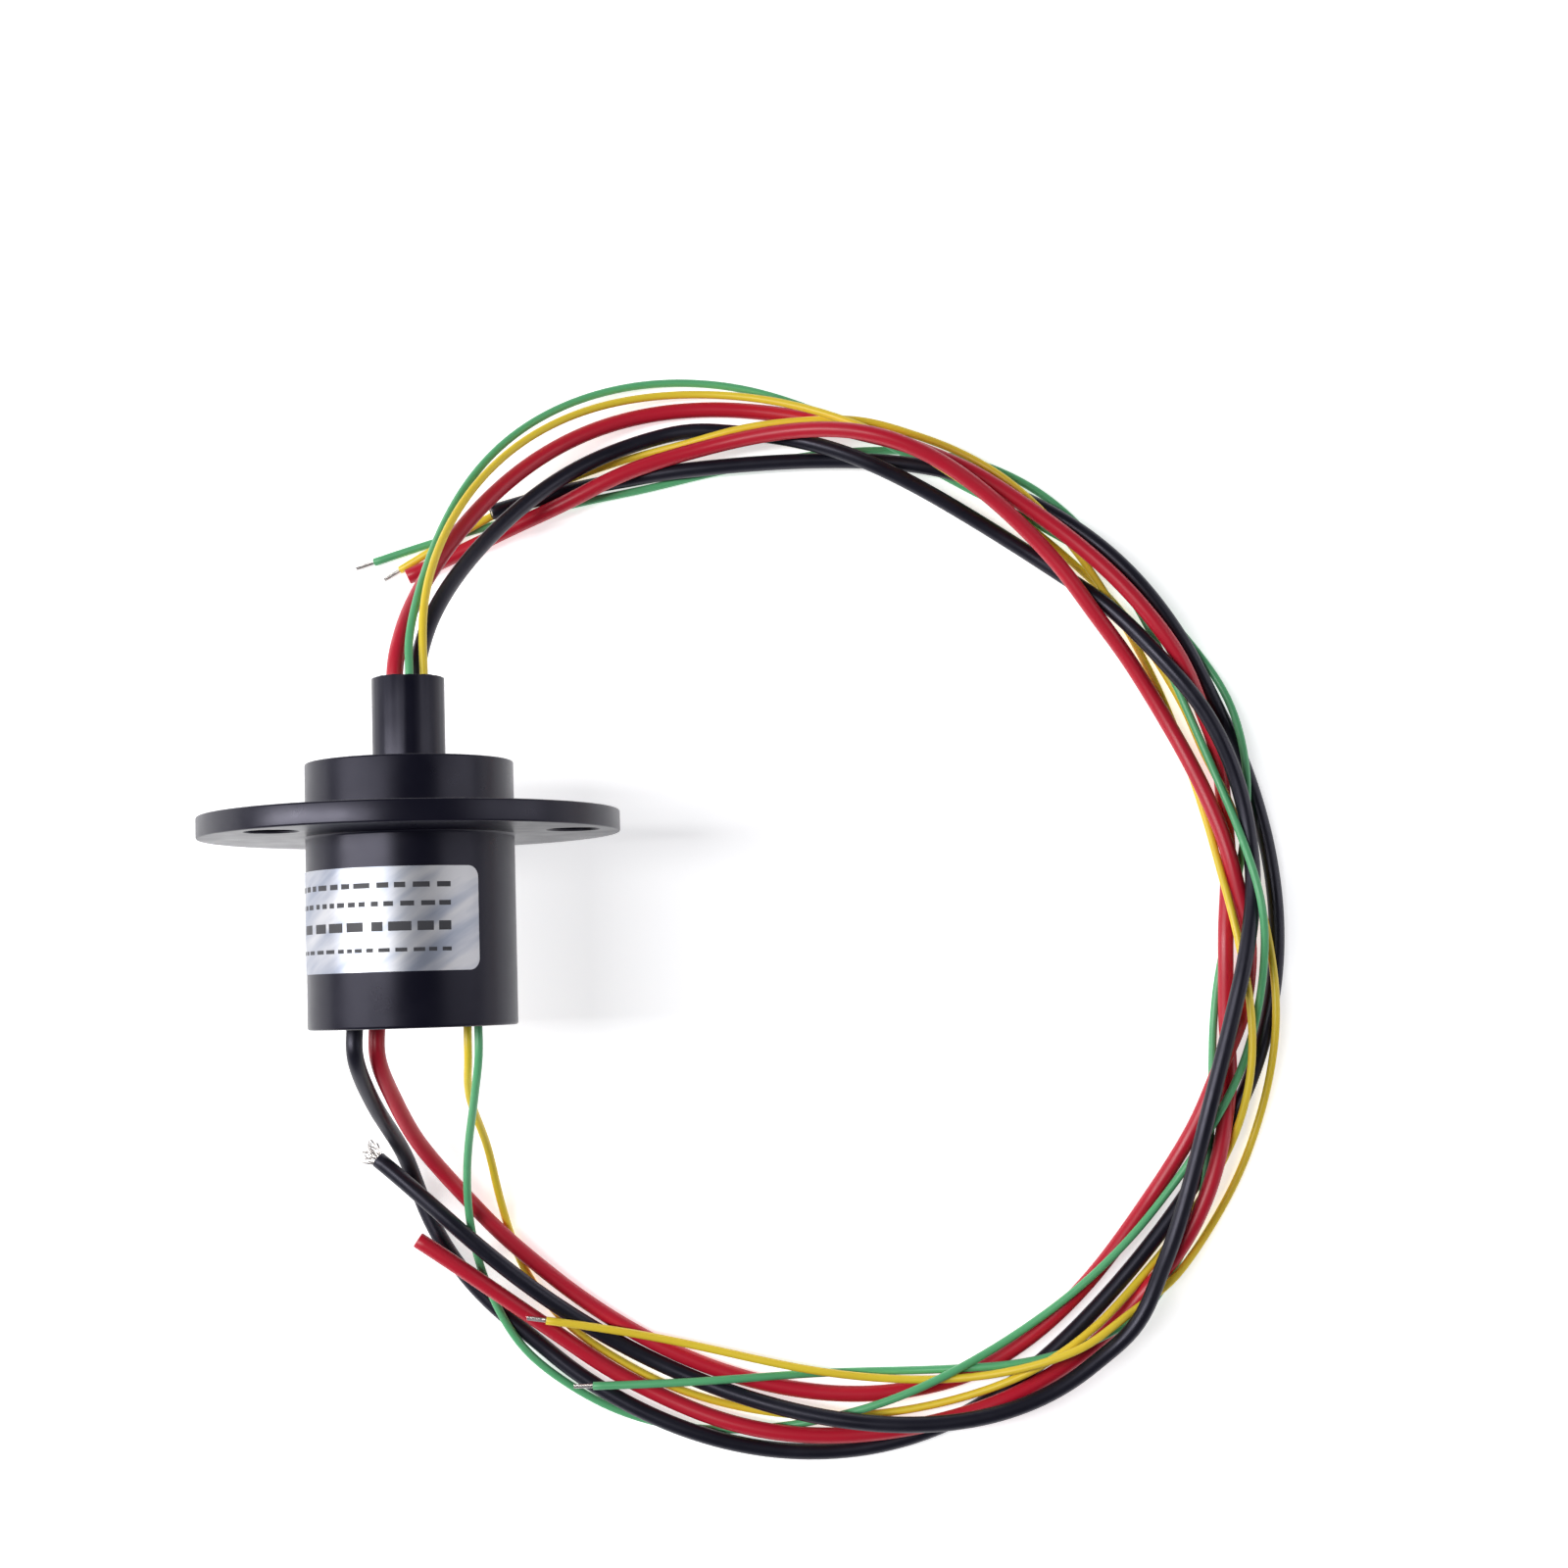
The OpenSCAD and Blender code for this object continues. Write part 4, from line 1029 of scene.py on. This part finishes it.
# %% Materials of the record's slots
materials = {
    "black_moulding": plastic("moulded_black", (0.0048, 0.0046, 0.0105), (0.0076, 0.0073, 0.015),
                              (0.27, 0.35), 7000, 0.16, specular=0.36),
    "black_shaft": plastic("shaft_black", (0.005, 0.0048, 0.011), (0.008, 0.0077, 0.0155),
                           (0.28, 0.36), 6000, 0.2, specular=0.36),
    "bearing_steel": metal("ground_steel", (0.62, 0.63, 0.65), (0.52, 0.53, 0.55), (0.16, 0.3)),
    "cage_plastic": plastic("cage_amber", (0.42, 0.2, 0.07), (0.36, 0.16, 0.05), (0.4, 0.5),
                            5000, 0.15),
    "barrier_plastic": plastic("barrier_ivory", (0.68, 0.63, 0.52), (0.6, 0.55, 0.44),
                               (0.4, 0.52), 5000, 0.15),
    "ring_metal": metal("plated_gold", (0.86, 0.6, 0.24), (0.76, 0.5, 0.18), (0.12, 0.24)),
    "brush_wire": metal("brush_alloy", (0.8, 0.66, 0.42), (0.7, 0.56, 0.34), (0.2, 0.32)),
    "circuit_board": plastic("board_green", (0.02, 0.12, 0.05), (0.03, 0.16, 0.07),
                             (0.3, 0.42), 3500, 0.2, coat=0.3),
    "solder": metal("solder_tin", (0.6, 0.61, 0.62), (0.45, 0.46, 0.47), (0.22, 0.4), 2500, 0.1),
    "potting": plastic("potting_black", (0.011, 0.011, 0.014), (0.02, 0.02, 0.025), (0.16, 0.3),
                       1400, 0.5, coat=0.3),
    "tinned_wire": metal("tinned_copper", (0.75, 0.74, 0.73), (0.66, 0.6, 0.55), (0.24, 0.4),
                         2500, 0.1),
    "red_lead": plastic("lead_red", (0.6, 0.012, 0.035), (0.52, 0.009, 0.028), (0.34, 0.44),
                        3000, 0.12),
    "black_lead": plastic("lead_black", (0.0065, 0.0065, 0.0115), (0.0095, 0.0095, 0.016),
                          (0.34, 0.46), 3000, 0.12),
    "yellow_lead": plastic("lead_yellow", (0.94, 0.72, 0.05), (0.88, 0.62, 0.035), (0.34, 0.44),
                           3000, 0.1),
    "green_lead": plastic("lead_green", (0.13, 0.5, 0.22), (0.1, 0.43, 0.18), (0.34, 0.44),
                          3000, 0.1),
}
VIOLET_SHEEN = (0.84, 0.82, 1, 1)
for slot in ("black_moulding", "black_shaft", "black_lead"):
    finish = materials[slot].node_tree.nodes["Principled BSDF"]
    finish.inputs["Specular Tint"].default_value = VIOLET_SHEEN
print("slot materials:", len(materials))

# %% [markdown]
# The label's foil is bright and softly brushed on a slant. The dashes on it are dark ink.

# %% Label foil and ink
foil, tree, shader = shader_of("silver_foil")
shader.inputs["Metallic"].default_value = 0.55
place = node(tree, "ShaderNodeTexCoord")
slant = node(tree, "ShaderNodeMapping")
slant.inputs["Rotation"].default_value = (0, 0, math.radians(35))
slant.vector_type = "TEXTURE"
slant.inputs["Scale"].default_value = (0.012, 0.0022, 0.012)
streaks = node(tree, "ShaderNodeTexNoise")
streaks.inputs["Scale"].default_value = 1
streaks.inputs["Detail"].default_value = 3
tint = node(tree, "ShaderNodeValToRGB")
tint.color_ramp.elements[0].position = 0.35
tint.color_ramp.elements[0].color = (0.34, 0.37, 0.45, 1)
tint.color_ramp.elements[1].position = 0.62
tint.color_ramp.elements[1].color = (0.64, 0.64, 0.66, 1)
matte = node(tree, "ShaderNodeMapRange")
matte.inputs["To Min"].default_value = 0.34
matte.inputs["To Max"].default_value = 0.52
skin = use_group(tree, grain, Scale=8000, Depth=0.08)
tree.links.new(place.outputs["Object"], slant.inputs["Vector"])
tree.links.new(slant.outputs["Vector"], streaks.inputs["Vector"])
tree.links.new(streaks.outputs["Fac"], tint.inputs["Fac"])
tree.links.new(streaks.outputs["Fac"], matte.inputs["Value"])
tree.links.new(tint.outputs["Color"], shader.inputs["Base Color"])
tree.links.new(matte.outputs["Result"], shader.inputs["Roughness"])
tree.links.new(skin.outputs["Normal"], shader.inputs["Normal"])
materials["silver_label"] = foil
ink = plastic("label_ink", (0.03, 0.03, 0.035), (0.06, 0.06, 0.07), (0.5, 0.6), 9000, 0.1)
print("label materials:", foil.name, ink.name)

# %% [markdown]
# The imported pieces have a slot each, and take its material. Each new piece is given its
# own here, the housing after its list is emptied.

# %% Put the materials on
slot_of = {entry["node"]: entry["material_slot"] for entry in frame["record"]["subparts"]}
for name, obj in nodes.items():
    for material_slot in obj.material_slots:
        material_slot.material = materials[slot_of[name]]

for (side, colour), lead in leads.items():
    lead.data.materials.append(materials[colour + "_lead"])
for wire in wire_ends.values():
    wire.data.materials.append(materials["tinned_wire"])
housing.data.materials.clear()
housing.data.materials.append(materials["black_moulding"])
shaft.data.materials.append(materials["black_shaft"])
potting.data.materials.append(materials["potting"])
label.data.materials.append(materials["silver_label"])
label_print.data.materials.append(ink)
print("dressed nodes:", len(slot_of))

# %% [markdown]
# ## Studio
#
# A pale table, one long soft light from the left, a weaker one from the right, and a dim
# sky that is darker straight overhead.


# %% Table
def pale_table():
    mesh = bpy.data.meshes.new("pale_table")
    size = 1.5
    corners = [(-size, -size, TABLE), (size, -size, TABLE), (size, size, TABLE),
               (-size, size, TABLE)]
    mesh.from_pydata(corners, [], [(0, 1, 2, 3)])
    table = bpy.data.objects.new("pale_table", mesh)
    scene.collection.objects.link(table)
    material, tree, shader = shader_of("pale_paper")
    shader.inputs["Base Color"].default_value = (0.9, 0.9, 0.905, 1)
    shader.inputs["Roughness"].default_value = 0.7
    shader.inputs["Specular IOR Level"].default_value = 0.2
    shader.inputs["Emission Color"].default_value = (1, 1, 1, 1)
    shader.inputs["Emission Strength"].default_value = 0.62
    mesh.materials.append(material)
    return table


pale_table()
print("table at %.5f" % TABLE)


# %% [markdown]
# A narrow light on the left draws one bright band down the black barrel, and a weaker
# one keeps its right side from going flat. The sky is darker overhead, so that the
# surfaces which face it stay black.

# %% Lights
def soft_light(name, place, target, size, power, colour=(1, 1, 1)):
    data = bpy.data.lights.new(name, "AREA")
    data.shape = "RECTANGLE"
    data.size, data.size_y = size
    data.energy = power
    data.color = colour
    light = bpy.data.objects.new(name, data)
    light.location = place
    aim = Vector(target) - Vector(place)
    light.rotation_euler = aim.to_track_quat("-Z", "Y").to_euler()
    scene.collection.objects.link(light)
    return light


soft_light("left_softbox", (-0.42, 0.02, 0.46), (0.02, 0, 0), (0.1, 0.7), 4.2)
soft_light("right_softbox", (0.8, 0.1, 0.42), (0.03, 0, 0), (0.4, 0.7), 1.5)

world = bpy.data.worlds.new("studio")
scene.world = world
world.use_nodes = True
tree = world.node_tree
sky = tree.nodes["Background"]
place = node(tree, "ShaderNodeTexCoord")
split = node(tree, "ShaderNodeSeparateXYZ")
ramp = node(tree, "ShaderNodeValToRGB")
ramp.color_ramp.elements[0].position = 0.0
ramp.color_ramp.elements[0].color = (0.55, 0.55, 0.66, 1)
ramp.color_ramp.elements[1].position = 0.85
ramp.color_ramp.elements[1].color = (0.04, 0.04, 0.055, 1)
tree.links.new(place.outputs["Generated"], split.inputs["Vector"])
tree.links.new(split.outputs["Z"], ramp.inputs["Fac"])
tree.links.new(ramp.outputs["Color"], sky.inputs["Color"])
sky.inputs["Strength"].default_value = 0.6
scene.view_settings.view_transform = "Standard"
print("lights: 2, sky strength", sky.inputs["Strength"].default_value)
